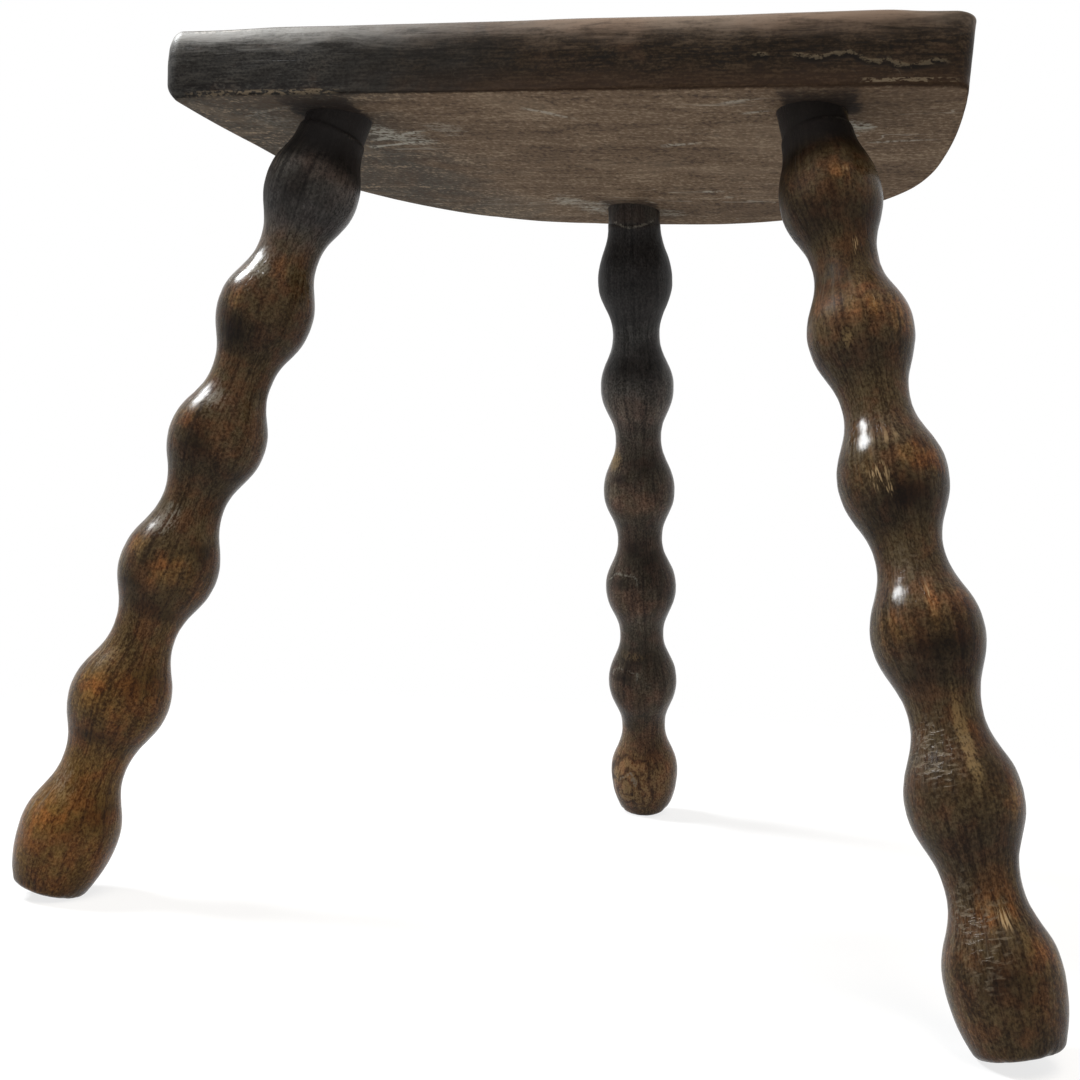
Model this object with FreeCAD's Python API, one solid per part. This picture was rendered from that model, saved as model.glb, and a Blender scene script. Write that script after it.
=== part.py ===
import FreeCAD, Part
import math
import os
from FreeCAD import Vector

# Driving dimensions in millimetres and degrees. The straight front edge of the seat
# lies along X, the rounded back points to +Y and the floor is at Z 0.

# Seat plank
stool_height = 303.0
seat_width = 277.0
seat_depth = 169.0
seat_thickness = 25.2
side_radius = 410.0
rounding_radius = 110.0
back_radius = 410.0
corner_radius = 6.5
top_edge_radius = 4.0
bottom_edge_radius = 1.2

# Where the leg axes meet the underside of the seat
left_socket_from_front = 25.0
left_socket_from_side = 56.7
right_socket_from_front = 23.8
right_socket_from_side = 50.7
rear_socket_from_back = 24.0

# How far each leg leans out, and the turn of that lean from straight out
left_lean = 15.7
right_lean = 19.5
rear_lean = 18.0
left_turn_to_front = 29.5
right_turn_to_front = 35.7
rear_turn_to_right = 3.1

# How far short of the underside the outer edge of each shoulder stops
left_shoulder_gap = 3.2
right_shoulder_gap = 4.5
rear_shoulder_gap = 1.5

# Bobbin turning
bulb_count = 6
bulb_diameter = 33.2
neck_diameter = 21.0
front_shoulder_ledge = 0.8
rear_shoulder_ledge = 0.5
shoulder_edge_radius = 0.3
left_first_bulb = 21.5
right_first_bulb = 23.0
rear_first_bulb = 24.6
foot_length = 20.0
foot_diameter = 24.0
foot_edge_radius = 2.0
foot_wear = 0.5

# Wedged through tenons
tenon_diameter = 22.4
tenon_clearance = 0.1
wedge_length = 17.0
wedge_head = 3.6
wedge_tip = 1.2
kerf_spare = 2.0

# How far cutting shapes run past what they cut
overrun = 2.0

# Largest rounding of the seat, as a share of the one that would meet its twin
largest_rounding = 0.98

underside = stool_height - seat_thickness


class Socket:
    """One leg's place: the socket point on the underside, its lean and its turning."""

    def __init__(self, name, x, y, lean, heading, shoulder_ledge, shoulder_gap, first_bulb):
        self.name = name
        self.point = Vector(x, y, underside)
        self.lean = math.radians(lean)
        self.heading = math.radians(heading)
        self.shoulder_radius = tenon_diameter / 2 + shoulder_ledge
        self.shoulder_gap = shoulder_gap
        self.first_bulb = first_bulb

    def axis(self):
        """Unit vector up the leg: it leans out along its heading as it goes down."""
        out = math.sin(self.lean)
        return Vector(-out * math.cos(self.heading), -out * math.sin(self.heading), math.cos(self.lean))

    def placement(self):
        """Puts a leg drawn along +Z, with the underside at zero, into its socket.

        The leg's own +Y keeps to the seat's depth, so that a wedge set along it
        presses on the end grain of the mortise and doesn't split the plank.
        """
        axis = self.axis()
        own_x = Vector(0, 1, 0).cross(axis).normalize()
        own_y = axis.cross(own_x)
        return FreeCAD.Placement(self.point, FreeCAD.Rotation(own_x, own_y, axis, "ZXY"))

    def shoulder_drop(self):
        """The shoulder is square to the leg, so its outer edge is nearest to the underside."""
        return self.shoulder_radius * math.tan(self.lean) + self.shoulder_gap

    def tenon_end(self):
        """Length of the axis through the seat."""
        return seat_thickness / math.cos(self.lean)

    def axis_length(self):
        """Length of the axis from the underside to the square end of the foot.

        The foot stands on its inner edge, softened and then worn level by the floor.
        """
        low_edge = foot_diameter / 2 * math.sin(self.lean)
        softened = foot_edge_radius * (math.cos(self.lean) + math.sin(self.lean) - 1)
        end_height = low_edge - softened - foot_wear
        return (underside - end_height) / math.cos(self.lean)


def sockets():
    """The two front legs and the one at the back of the round."""
    left_x = -(seat_width / 2 - left_socket_from_side)
    right_x = seat_width / 2 - right_socket_from_side
    rear_y = seat_depth - rear_socket_from_back
    left_heading = 180 + left_turn_to_front
    right_heading = -right_turn_to_front
    rear_heading = 90 - rear_turn_to_right
    return [
        Socket("left", left_x, left_socket_from_front, left_lean, left_heading,
               front_shoulder_ledge, left_shoulder_gap, left_first_bulb),
        Socket("right", right_x, right_socket_from_front, right_lean, right_heading,
               front_shoulder_ledge, right_shoulder_gap, right_first_bulb),
        Socket("rear", 0.0, rear_y, rear_lean, rear_heading,
               rear_shoulder_ledge, rear_shoulder_gap, rear_first_bulb),
    ]


def edges_at(shape, height):
    """Edges that lie whole in the level plane at a height."""
    found = []
    for edge in shape.Edges:
        box = edge.BoundBox
        if abs(box.ZMin - height) < 1e-4 and abs(box.ZMax - height) < 1e-4:
            found.append(edge)
    return found


def arc_about(centre, start, end):
    """The shorter arc between two points at one distance from a centre."""
    radius = (start - centre).Length
    bisector = (start + end - centre * 2).normalize()
    return Part.Arc(start, centre + bisector * radius, end)


def across(point):
    """The same point on the other half of the seat."""
    return Vector(-point.x, point.y, point.z)


def seat_plan():
    """Straight front edge closed by five tangent arcs: two sides, two roundings and the back.

    The sides leave the front edge square and the back is level in the middle, so the
    rounding's centre is where circles about the other two centres cross. On a narrow
    seat the roundings stop growing just before they meet at the middle of the back.
    """
    side_centre = Vector(seat_width / 2 - side_radius, 0, underside)
    back_centre = Vector(0, seat_depth - back_radius, underside)
    meeting = (side_radius ** 2 - side_centre.x ** 2 - seat_depth ** 2) / (2 * (side_radius - seat_depth))
    rounding = min(rounding_radius, meeting * largest_rounding)
    to_side = side_radius - rounding
    to_back = back_radius - rounding
    apart = (back_centre - side_centre).Length
    along = (back_centre - side_centre).normalize()
    outward = Vector(-along.y, along.x, 0)
    advance = (to_side ** 2 - to_back ** 2 + apart ** 2) / (2 * apart)
    sideways = math.sqrt(to_side ** 2 - advance ** 2)
    rounding_centre = side_centre + along * advance + outward * sideways

    corner = Vector(seat_width / 2, 0, underside)
    side_end = side_centre + (rounding_centre - side_centre).normalize() * side_radius
    back_end = back_centre + (rounding_centre - back_centre).normalize() * back_radius
    curves = [
        Part.LineSegment(across(corner), corner),
        arc_about(side_centre, corner, side_end),
        arc_about(rounding_centre, side_end, back_end),
        arc_about(back_centre, back_end, across(back_end)),
        arc_about(across(rounding_centre), across(back_end), across(side_end)),
        arc_about(across(side_centre), across(side_end), across(corner)),
    ]
    return Part.Face(Part.Wire([curve.toShape() for curve in curves]))


def make_seat(legs):
    """D-shaped plank with softened edges and three slanting through mortises."""
    plank = seat_plan().extrude(Vector(0, 0, seat_thickness))
    uprights = []
    for edge in plank.Edges:
        box = edge.BoundBox
        if box.ZLength > seat_thickness - 1e-4 and box.XLength < 1e-4 and box.YLength < 1e-4:
            uprights.append(edge)
    plank = plank.makeFillet(corner_radius, uprights)
    plank = plank.makeFillet(top_edge_radius, edges_at(plank, stool_height))
    plank = plank.makeFillet(bottom_edge_radius, edges_at(plank, underside))
    bore = tenon_diameter / 2 + tenon_clearance
    for leg in legs:
        reach = bore * math.tan(leg.lean) + overrun
        length = leg.tenon_end() + 2 * reach
        mortise = Part.makeCylinder(bore, length, Vector(0, 0, -reach))
        mortise.Placement = leg.placement()
        plank = plank.cut(mortise)
    return plank


def half_wave(start, end):
    """Two tangent arcs of one radius, from one neck or bulb down to the next."""
    middle = (start + end) * 0.5
    swing = end.x - start.x
    radius = (middle - start).Length ** 2 / abs(swing)
    spread = math.asin((start.z - middle.z) / radius)
    sag = math.copysign(radius * (1 - math.cos(spread / 2)), swing)
    bow = Vector(sag, 0, -radius * math.sin(spread / 2))
    return [Part.Arc(start, start + bow, middle), Part.Arc(middle, end - bow, end)]


def leg_profile(leg):
    """Closed half section of one leg: tenon, square shoulder, bobbins and tapered foot."""
    tenon = tenon_diameter / 2
    shoulder = leg.shoulder_radius
    bulb = bulb_diameter / 2
    neck = neck_diameter / 2
    foot = foot_diameter / 2
    head_z = leg.tenon_end() + tenon * math.tan(leg.lean) + overrun
    shoulder_z = -leg.shoulder_drop()
    first_z = shoulder_z - leg.first_bulb
    last_z = -leg.axis_length() + foot_length
    pitch = (first_z - last_z) / (bulb_count - 1)

    soft = shoulder_edge_radius
    soft_side = soft * (1 - math.sqrt(0.5))
    curves = [
        Part.LineSegment(Vector(0, 0, head_z), Vector(tenon, 0, head_z)),
        Part.LineSegment(Vector(tenon, 0, head_z), Vector(tenon, 0, shoulder_z)),
        Part.LineSegment(Vector(tenon, 0, shoulder_z), Vector(shoulder - soft, 0, shoulder_z)),
        Part.Arc(
            Vector(shoulder - soft, 0, shoulder_z),
            Vector(shoulder - soft_side, 0, shoulder_z - soft_side),
            Vector(shoulder, 0, shoulder_z - soft),
        ),
    ]
    place = Vector(shoulder, 0, shoulder_z - soft)
    for number in range(bulb_count):
        crest = Vector(bulb, 0, first_z - number * pitch)
        curves += half_wave(place, crest)
        place = crest
        if number < bulb_count - 1:
            valley = Vector(neck, 0, crest.z - pitch / 2)
            curves += half_wave(crest, valley)
            place = valley

    taper = bulb - foot
    foot_radius = (foot_length ** 2 + taper ** 2) / (2 * taper)
    centre = Vector(bulb - foot_radius, 0, last_z)
    end_z = last_z - foot_length
    curves.append(arc_about(centre, place, Vector(foot, 0, end_z)))
    curves.append(Part.LineSegment(Vector(foot, 0, end_z), Vector(0, 0, end_z)))
    curves.append(Part.LineSegment(Vector(0, 0, end_z), Vector(0, 0, head_z)))
    return Part.Face(Part.Wire([curve.toShape() for curve in curves]))


def wedge_blank(leg, tip_spare):
    """Tapered prism set along the tenon's own +Y; spare length below the tip makes the kerf."""
    end = leg.tenon_end()
    tip_z = end - wedge_length
    top_z = end + tenon_diameter / 2 * math.tan(leg.lean) + 2 * overrun
    taper = (wedge_head - wedge_tip) / wedge_length
    top_half = wedge_head / 2 + taper / 2 * (top_z - end)
    tip_half = wedge_tip / 2
    side = tenon_diameter / 2 + overrun
    corners = [Vector(-top_half, -side, top_z), Vector(-tip_half, -side, tip_z)]
    if tip_spare > 0:
        corners.append(Vector(-tip_half, -side, tip_z - tip_spare))
        corners.append(Vector(tip_half, -side, tip_z - tip_spare))
    corners += [Vector(tip_half, -side, tip_z), Vector(top_half, -side, top_z)]
    outline = Part.makePolygon(corners + corners[:1])
    return Part.Face(outline).extrude(Vector(0, 2 * side, 0))


def between_floor_and_top(shape):
    """Wears the low side of each foot level with the floor and cuts tenons flush with the seat."""
    reach = 2 * (seat_width + seat_depth + stool_height)
    slab = Part.makeBox(2 * reach, 2 * reach, stool_height, Vector(-reach, -reach, 0))
    return shape.common(slab)


def make_leg(leg):
    """Bobbin-turned leg with a kerf sawn in its tenon and a square, softened foot."""
    turned = leg_profile(leg).revolve(Vector(0, 0, 0), Vector(0, 0, 1), 360)
    turned = turned.makeFillet(foot_edge_radius, edges_at(turned, -leg.axis_length()))
    turned = turned.cut(wedge_blank(leg, kerf_spare))
    turned.Placement = leg.placement()
    return between_floor_and_top(turned).Solids[0]


def make_wedge(leg):
    """Hardwood wedge that fills the kerf from its tip to the seat top."""
    reach = leg.tenon_end() + seat_thickness
    core = Part.makeCylinder(tenon_diameter / 2, reach)
    solid = wedge_blank(leg, 0.0).common(core)
    solid.Placement = leg.placement()
    return between_floor_and_top(solid).Solids[0]


def main():
    legs = sockets()
    pieces = {"seat": make_seat(legs)}
    for leg in legs:
        pieces["leg_" + leg.name] = make_leg(leg)
        pieces["wedge_" + leg.name] = make_wedge(leg)

    # The origin is on the floor, under the middle of the stool's own box.
    box = FreeCAD.BoundBox()
    for shape in pieces.values():
        box.add(shape.optimalBoundingBox(False, False))
    to_origin = Vector(-box.Center.x, -box.Center.y, 0)
    os.makedirs("parts", exist_ok=True)
    for name, shape in pieces.items():
        shape = shape.Solids[0]
        shape.translate(to_origin)
        shape.exportStep("parts/" + name + ".step")
        print(name, "valid", shape.isValid(), "volume", round(shape.Volume, 1))
        for face in shape.Faces:
            if face.BoundBox.ZMax < 1e-4:
                print("  stands at", [round(value, 2) for value in face.CenterOfMass],
                      "on", round(face.Area, 1))
    print("size", round(box.XLength, 2), round(box.YLength, 2), stool_height)
    print("front edge middle at", round(to_origin.x, 3), round(to_origin.y, 3))


main()
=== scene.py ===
"""Looks of a three-legged milking stool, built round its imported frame.

The file is laid out as an add-on: settings, one operator for each group of like
pieces and one for the stage, and a panel that lists them.
"""
import math

import bmesh
import bpy
import numpy as np
from bpy.props import FloatProperty, FloatVectorProperty, IntProperty, PointerProperty
from bpy.types import Operator, Panel, PropertyGroup
from mathutils import Matrix, Vector


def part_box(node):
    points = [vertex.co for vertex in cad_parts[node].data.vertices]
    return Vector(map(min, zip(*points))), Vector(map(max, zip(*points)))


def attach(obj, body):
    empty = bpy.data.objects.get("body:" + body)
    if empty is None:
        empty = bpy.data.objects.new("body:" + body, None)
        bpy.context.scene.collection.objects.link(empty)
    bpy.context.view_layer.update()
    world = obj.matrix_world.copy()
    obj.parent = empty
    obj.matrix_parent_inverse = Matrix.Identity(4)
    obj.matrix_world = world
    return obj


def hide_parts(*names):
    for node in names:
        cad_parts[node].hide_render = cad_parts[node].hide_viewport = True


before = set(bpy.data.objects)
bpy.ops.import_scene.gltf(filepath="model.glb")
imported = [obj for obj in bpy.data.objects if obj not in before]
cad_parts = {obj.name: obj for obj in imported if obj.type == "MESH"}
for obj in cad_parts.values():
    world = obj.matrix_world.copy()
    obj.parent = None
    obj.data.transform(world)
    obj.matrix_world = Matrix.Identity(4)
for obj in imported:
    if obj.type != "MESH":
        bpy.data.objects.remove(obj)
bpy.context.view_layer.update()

bl_info = {
    "name": "Milking Stool",
    "version": (1, 0, 0),
    "blender": (4, 5, 0),
    "location": "View3D > Sidebar > Stool",
    "description": "Builds the worn seat, bobbin legs and wedges of a milking stool",
    "category": "Add Mesh",
}

MM = 0.001
SEAT_LOW, SEAT_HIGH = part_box("seat")
MIDDLE_X = (SEAT_LOW.x + SEAT_HIGH.x) / 2
FRONT_Y = SEAT_LOW.y
TOP_Z = SEAT_HIGH.z
UNDER_Z = SEAT_LOW.z
THICKNESS = TOP_Z - UNDER_Z
HALF_WIDTH = (SEAT_HIGH.x - SEAT_LOW.x) / 2
DEPTH = SEAT_HIGH.y - SEAT_LOW.y
# Points closer than these are merged on a raw piece and on a cut one
RAW_MERGE = 0.00001
CUT_MERGE = 0.000005


# Settings


def number(name, default, description, **more):
    return FloatProperty(name=name, default=default, description=description, **more)


def length(name, default, description):
    """A size in metres."""
    return number(name, default, description, unit="LENGTH", precision=4)


def angle(name, degrees, description):
    return number(name, math.radians(degrees), description, subtype="ANGLE")


def power(name, default, description):
    return number(name, default, description, subtype="POWER")


def triple(name, default, description, **more):
    return FloatVectorProperty(name=name, default=default, description=description, size=3, **more)


def tint(name, default, description):
    """What a tone is multiplied by, red, green and blue."""
    return triple(name, default, description, min=0.0, max=4.0)


def colour(name, default, description):
    """A wood tone, linear red, green and blue."""
    return triple(name, default, description, subtype="COLOR", min=0.0, max=1.0)


class SeatSettings(PropertyGroup):
    """Shape and tones of the plank."""
    side_radius: length("Side Radius", 0.410, "Radius of the nearly straight sides")
    rounding_radius: length("Rounding Radius", 0.110, "Radius between a side and the back")
    back_radius: length("Back Radius", 0.410, "Radius of the back edge")
    corner_radius: length("Corner Radius", 0.0065, "Radius of the two front corners in plan")
    top_edge: length("Top Edge", 0.0040, "Usual rounding of the top edge")
    worn_drop: length("Worn Drop", 0.0078, "Height of the rubbed rounding at the left end")
    worn_reach: length("Worn Reach", 0.0028, "Width of the rubbed rounding at the left end")
    front_drop: length("Front Drop", 0.0066, "Height of the rounding in the middle of the front")
    keen_edge: length("Keen Edge", 0.0017, "Rounding of the top edge at the right end")
    bottom_edge: length("Bottom Edge", 0.0012, "Usual rounding of the lower arris")
    bruised_edge: length("Bruised Edge", 0.0016, "Width of the lower arris where it is bruised")
    worn_bottom: length("Worn Bottom", 0.0052, "Rounding of the lower arris at the left end")
    belly: length("Belly", 0.0008, "How far the rubbed left end bulges at half its height")
    lean_in: length("Lean In", 0.0010, "How far the right end leans in towards its lower arris")
    dish: length("Dish", 0.0006, "How far sitting has hollowed the top")
    left_fall: length("Left Fall", 0.0010, "How far the top has worn down at the left end of the front")
    right_fall: length("Right Fall", 0.0018, "How far the top has worn down at the right end of the front")
    stain_left: colour("Stain Left", (0.022, 0.0205, 0.0185), "Stain of the edge at the left")
    stain_right: colour("Stain Right", (0.0130, 0.0080, 0.0042), "Stain of the edge at the right")
    # The two pale edge tones below are partly rubbed wear and partly painted light on the upper edge
    rubbed_and_lit_grey: colour("Rubbed Grey", (0.262, 0.258, 0.248), "Edge rubbed through its stain at the left")
    rubbed: colour("Rubbed", (0.168, 0.130, 0.102), "Edge rubbed through its stain elsewhere")
    underside: colour("Underside", (0.098, 0.065, 0.041), "Dry wood of the underside")
    top_worn: colour("Top Worn", (0.100, 0.056, 0.030), "Top where sitting has thinned the stain")


class LegSettings(PropertyGroup):
    """Sizes and tones of the bobbin turning."""
    bulbs: IntProperty(name="Bulbs", default=6, min=2, description="Bulbs on each leg")
    bulb_diameter: length("Bulb Diameter", 0.0332, "Diameter at a bulb")
    neck_diameter: length("Neck Diameter", 0.0210, "Diameter at a neck")
    tenon_diameter: length("Tenon Diameter", 0.0224, "Diameter of the tenon in the seat")
    clearance: length("Clearance", 0.0001, "Gap round the tenon in its mortise")
    foot_length: length("Foot Length", 0.0200, "Length of the tapered foot below the last bulb")
    foot_diameter: length("Foot Diameter", 0.0240, "Diameter of the foot's end")
    foot_edge: length("Foot Edge", 0.0020, "Rounding of the foot's end")
    foot_wear: length("Foot Wear", 0.0005, "Depth of the flat that the floor has worn")
    tenon_sink: length("Tenon Sink", 0.0003, "How far the tenon's end lies below the wedge's")
    kerf_depth: length("Kerf Depth", 0.017, "Depth of the wedge in the tenon")
    kerf_head: length("Kerf Head", 0.0036, "Thickness of the wedge at the tenon's end")
    kerf_tip: length("Kerf Tip", 0.0012, "Thickness of the wedge at its tip")
    kerf_run: length("Kerf Run", 0.0020, "How far the saw ran on past the wedge's tip")
    dark: colour("Dark", (0.0200, 0.0088, 0.0020), "Dark grain under the varnish")
    brown: colour("Brown", (0.0850, 0.0540, 0.0300), "Lighter grain under the varnish")
    amber: tint("Amber Tint", (2.05, 1.72, 1.38), "What the tone is multiplied by where the stain is worn thin")
    honey: tint("Honey Tint", (1.90, 1.52, 0.86), "What the tone is multiplied by near the feet")
    rose: tint("Rose Tint", (1.55, 1.35, 1.25), "What the tone is multiplied by on reddish wood")
    soot: tint("Soot Tint", (0.34, 0.32, 0.32), "What the tone is multiplied by under grime")


class StageSettings(PropertyGroup):
    """Camera and lights."""
    camera_place: triple("Camera Place", (0.1254, -0.4957, 0.1321), "Where the camera stands", subtype="TRANSLATION")
    heading: angle("Heading", -13.345, "Turn of the view to the right of straight back")
    pitch: angle("Pitch", 0.973, "Tilt of the view above the horizon")
    roll: angle("Roll", 3.980, "Roll of the camera")
    lens: number("Lens", 42.687, "Focal length on a 36 mm frame")
    shift_x: number("Shift X", -0.0788, "Sideways shift of the frame")
    shift_y: number("Shift Y", -0.0159, "Upright shift of the frame")
    window_power: power("Window Power", 34.0, "Power of the small bright lamp at the left")
    ceiling_power: power("Ceiling Power", 24.0, "Power of the broad warm lamp above the front right")
    fill_power: power("Fill Power", 10.0, "Power of the broad lamp behind")
    ambient: number("Ambient", 0.12, "Light from all round")


# Places and wear


class LegPlace:
    """One leg: where its axis meets the underside, how it leans, its own turning and its wear."""

    def __init__(self, name, right, back, lean, heading, **own):
        self.name = name
        self.foot = under_point(right, back)
        self.lean = math.radians(lean)
        self.heading = math.radians(heading)
        vars(self).update(own)

    def axis(self):
        out = math.sin(self.lean)
        return Vector((-out * math.cos(self.heading), -out * math.sin(self.heading), math.cos(self.lean)))

    def placement(self):
        """From the lathe, with the underside at zero and the seat above, to the stool."""
        axis = self.axis()
        own_x = Vector((0, 1, 0)).cross(axis).normalized()
        own_y = axis.cross(own_x)
        turn = Matrix((own_x, own_y, axis)).transposed()
        return Matrix.Translation(self.foot) @ turn.to_4x4()


def under_point(right, back):
    """A point of the underside, from the middle of its front edge."""
    return Vector((MIDDLE_X + right, FRONT_Y + back, UNDER_Z))


# ledge and gap: width of the shoulder and its distance below the seat
# grime and collar: how far dirt runs down from the seat, and how dark the top is made just under the seat
# grey top and shade: where the greyed top is full, where it ends and its strength; on the rear leg it is partly
# painted shade
# honey: the golden foot, where it begins, where it is full and its strength
# lamp glint: how strongly pale streaks are painted on the bulbs' faces turned to the lamps, a painted highlight;
# chip: angle and depth of the chip in the foot
# stain: darker patch on the underside ahead of the socket, its shift to the right, half width, reach and strength
LEGS = (
    LegPlace("left", -0.0818, 0.0250, 15.7, 209.5, ledge=0.0008, gap=0.0032, first_bulb=0.0215, seed=1.0,
             grime=0.021, collar=0.65, ash=(0.036, 0.062, 0.75), honey=(0.110, 0.285, 1.0), crown=1.0,
             chip=(-150.0, 0.0016), stain=(-0.0005, 0.0150, 0.042, 0.86)),
    LegPlace("right", 0.0878, 0.0238, 19.5, -35.7, ledge=0.0008, gap=0.0045, first_bulb=0.0230, seed=2.0,
             grime=0.023, collar=0.60, ash=(0.006, 0.022, 0.40), honey=(0.150, 0.300, 0.30), crown=0.45,
             chip=(150.0, 0.0008), stain=(0.0040, 0.0135, 0.033, 0.85)),
    LegPlace("rear", 0.0, DEPTH - 0.0240, 18.0, 86.9, ledge=0.0005, gap=0.0015, first_bulb=0.0246, seed=3.0,
             grime=0.050, collar=0.0, ash=(0.040, 0.125, 0.60), honey=(0.225, 0.262, 0.95), crown=0.35,
             chip=(40.0, 0.0008), stain=(0.0, 0.0125, 0.024, 0.70)),
)

# Marks on the turnings: mm down the axis, degrees round it, length and width in mm, and strength
MARKS = {
    "left": {
        "rose": ((23, -48, 5, 16, 0.85), (27, -8, 6, 8, 0.6), (122, -50, 10, 14, 0.35)),
        "soot": ((31, -80, 9, 10, 0.95), (36, -40, 10, 22, 0.45), (88, -92, 6, 7, 1.0), (82, -118, 5, 6, 0.5),
                 (128, -88, 6, 8, 0.65), (162, -22, 6, 8, 0.8), (178, -100, 6, 9, 0.6), (185, -62, 6, 14, 0.6),
                 (208, -30, 11, 14, 0.6), (231, -75, 3, 14, 0.65), (256, -26, 12, 14, 0.6)),
        "amber": ((78, -106, 5, 6, 0.75), (61, -60, 7, 3.5, 0.55), (103, -110, 6, 4, 0.45), (119, -112, 5, 6, 1.0),
                  (166, -110, 5, 6, 0.9), (171, -60, 6, 9, 0.75), (179, -15, 6, 6, 0.65), (216, -89, 9, 10, 0.75),
                  (222, -57, 7, 9, 0.65), (262, -95, 9, 10, 0.65)),
        # The pale line round the shoulder and the pale patches beside the window's highlights on the bulbs are
        # painted highlights
        "rim": ((7.8, -30, 0.7, 8, 0.45), (62, -92, 7, 5, 0.8), (110, -90, 7, 6, 0.6), (156, -90, 6, 6, 0.6),
                (247, -98, 6, 6, 0.55)),
        "bare": ((251, -92, 6, 5, 0.55), (204, -98, 6, 5, 0.5)),
        "polish": ((64, -104, 11, 11, 1.0), (111, -100, 9, 9, 0.6), (156, -107, 9, 9, 0.6)),
        "matte": ((30, -112, 13, 13, 1.0),),
    },
    "right": {
        "rose": ((75, -85, 12, 26, 0.9), (170, -46, 6, 8, 0.9)),
        # The soot patch at 66 mm and -110 degrees is painted shade that damps the sheen there
        "soot": ((44, -90, 12, 30, 0.4), (66, -110, 9, 9, 0.55), (90, -80, 5, 8, 0.4), (137, -72, 5, 10, 0.85),
                 (145, -92, 6, 12, 0.35), (181, -74, 5, 10, 0.8), (190, -90, 6, 14, 0.35), (270, -84, 7, 10, 0.7)),
        "amber": ((31, -70, 5, 7, 0.8), (30, -95, 5, 6, 0.35), (79, -88, 6, 6, 0.4), (78, -68, 6, 3, 0.8),
                  (79, -25, 9, 9, 0.7), (125, -62, 4, 6, 1.0), (127, -42, 5, 10, 1.0), (128, -116, 6, 5, 0.5),
                  (170, -76, 8, 3, 0.9), (174, -124, 6, 8, 0.75), (225, -30, 7, 5, 0.95), (205, -60, 8, 5, 0.5),
                  (254, -78, 7, 7, 0.8), (266, -38, 8, 7, 0.95)),
        # The pale line round the shoulder is a painted highlight
        "rim": ((9.3, -42, 0.6, 9, 0.55),),
        "bare": ((6, -8, 3.5, 4, 0.75), (86, -104, 3, 2.2, 0.75), (208, -71, 14, 2, 1.0), (252, -88, 6, 5, 0.3)),
        # Glints: pale scratches, partly painted highlights
        "glint": ((256, -74, 4.5, 2, 0.85), (130, -100, 4, 4, 0.75), (134.5, -93, 3, 2.2, 0.7),
                  (118, -88, 4, 8, 0.45), (76.5, -66, 3.5, 1, 0.75), (54.5, -64, 4.5, 1.3, 0.75),
                  (168, -79, 6, 1.4, 0.6), (31, -66, 2, 3, 0.5)),
        "polish": ((114, -118, 10, 9, 1.0), (161, -115, 9, 9, 1.0)),
        "matte": ((26, -112, 13, 13, 1.0), (66, -108, 13, 11, 0.8)),
        "craze": ((211, -113, 12, 10, 1.0), (253, -118, 14, 9, 0.9), (264, -100, 12, 11, 0.75),
                  (156, -86, 6, 8, 0.5)),
    },
    "rear": {
        # On the rear leg the rose below the bulbs' middles is partly painted light and the wide soot bands above them
        # partly painted shade, as the leg leans back
        "rose": ((87, -85, 8, 20, 0.8), (128, -88, 7, 18, 0.95), (177, -92, 8, 18, 0.85), (224, -95, 8, 18, 0.95),
                 (268, -88, 16, 30, 0.8)),
        "soot": ((66, -85, 11, 34, 0.75), (111, -70, 8, 22, 0.55), (156, -80, 8, 28, 0.65), (206, -85, 8, 26, 0.65),
                 (118, -115, 3, 6, 0.9), (168, -112, 4, 6, 0.8), (216, -114, 4, 7, 0.8), (255, -70, 7, 16, 0.5)),
        "amber": ((275, -108, 8, 10, 0.8), (268, -88, 14, 22, 0.75)),
        "bare": ((270, -98, 13, 20, 0.95), (110, -145, 5, 6, 0.85), (205, -100, 3, 12, 0.4)),
        "lip": ((3.2, -77, 3.3, 10, 0.8),),
        "arc": ((168, -112, 5.2, 8.5, 0.9), (216, -112, 5, 8, 0.7), (271, -108, 6.8, 7.2, 0.8)),
        "knot": ((271, -108, 4.5, 5, 0.75), (271, -108, 8.5, 9, 0.9), (271, -108, 13, 13.5, 0.85)),
    },
}
MARK_KINDS = ("amber", "rose", "soot", "bare", "craze", "glint", "polish", "matte", "rim")
# A lip is the lower half of a pale ring, painted as the highlight on a shoulder's edge, an arc the upper half and a
# knot the whole of a dark one:
# the kind of mark, the half and the width of the line
RINGS = {"lip": ("rim", 1.0, 0.0006), "arc": ("rim", -1.0, 0.0006), "knot": ("soot", 0.0, 0.0011)}

# The open shake along the right of the front edge: mm right of the middle and above the underside
SHAKE = (
    (69, 11), (74, 11), (79, 10), (84, 10.5), (91, 9.5), (95, 10.5), (101, 11), (106, 8.5),
    (110, 8), (113, 8.5), (114, 7.5), (118, 6.5), (123, 7), (126, 8), (128, 8.5), (132, 7),
)
# Bruised stretches of the lower front arris, right of the middle
BRUISES = ((-0.131, -0.068), (0.102, 0.137))
# Pale smears on the underside: right of the middle, back of the front, reach and strength
SMEARS = (
    (-0.107, 0.026, 0.012, 0.15), (-0.072, 0.040, 0.009, 0.90), (-0.062, 0.047, 0.009, 0.70),
    (-0.044, 0.036, 0.009, 0.30), (0.1005, 0.034, 0.0045, 1.0), (0.1030, 0.038, 0.0045, 0.8),
    (-0.024, 0.132, 0.011, 0.60), (-0.016, 0.141, 0.009, 0.75), (0.015, 0.150, 0.008, 0.50),
)
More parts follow.
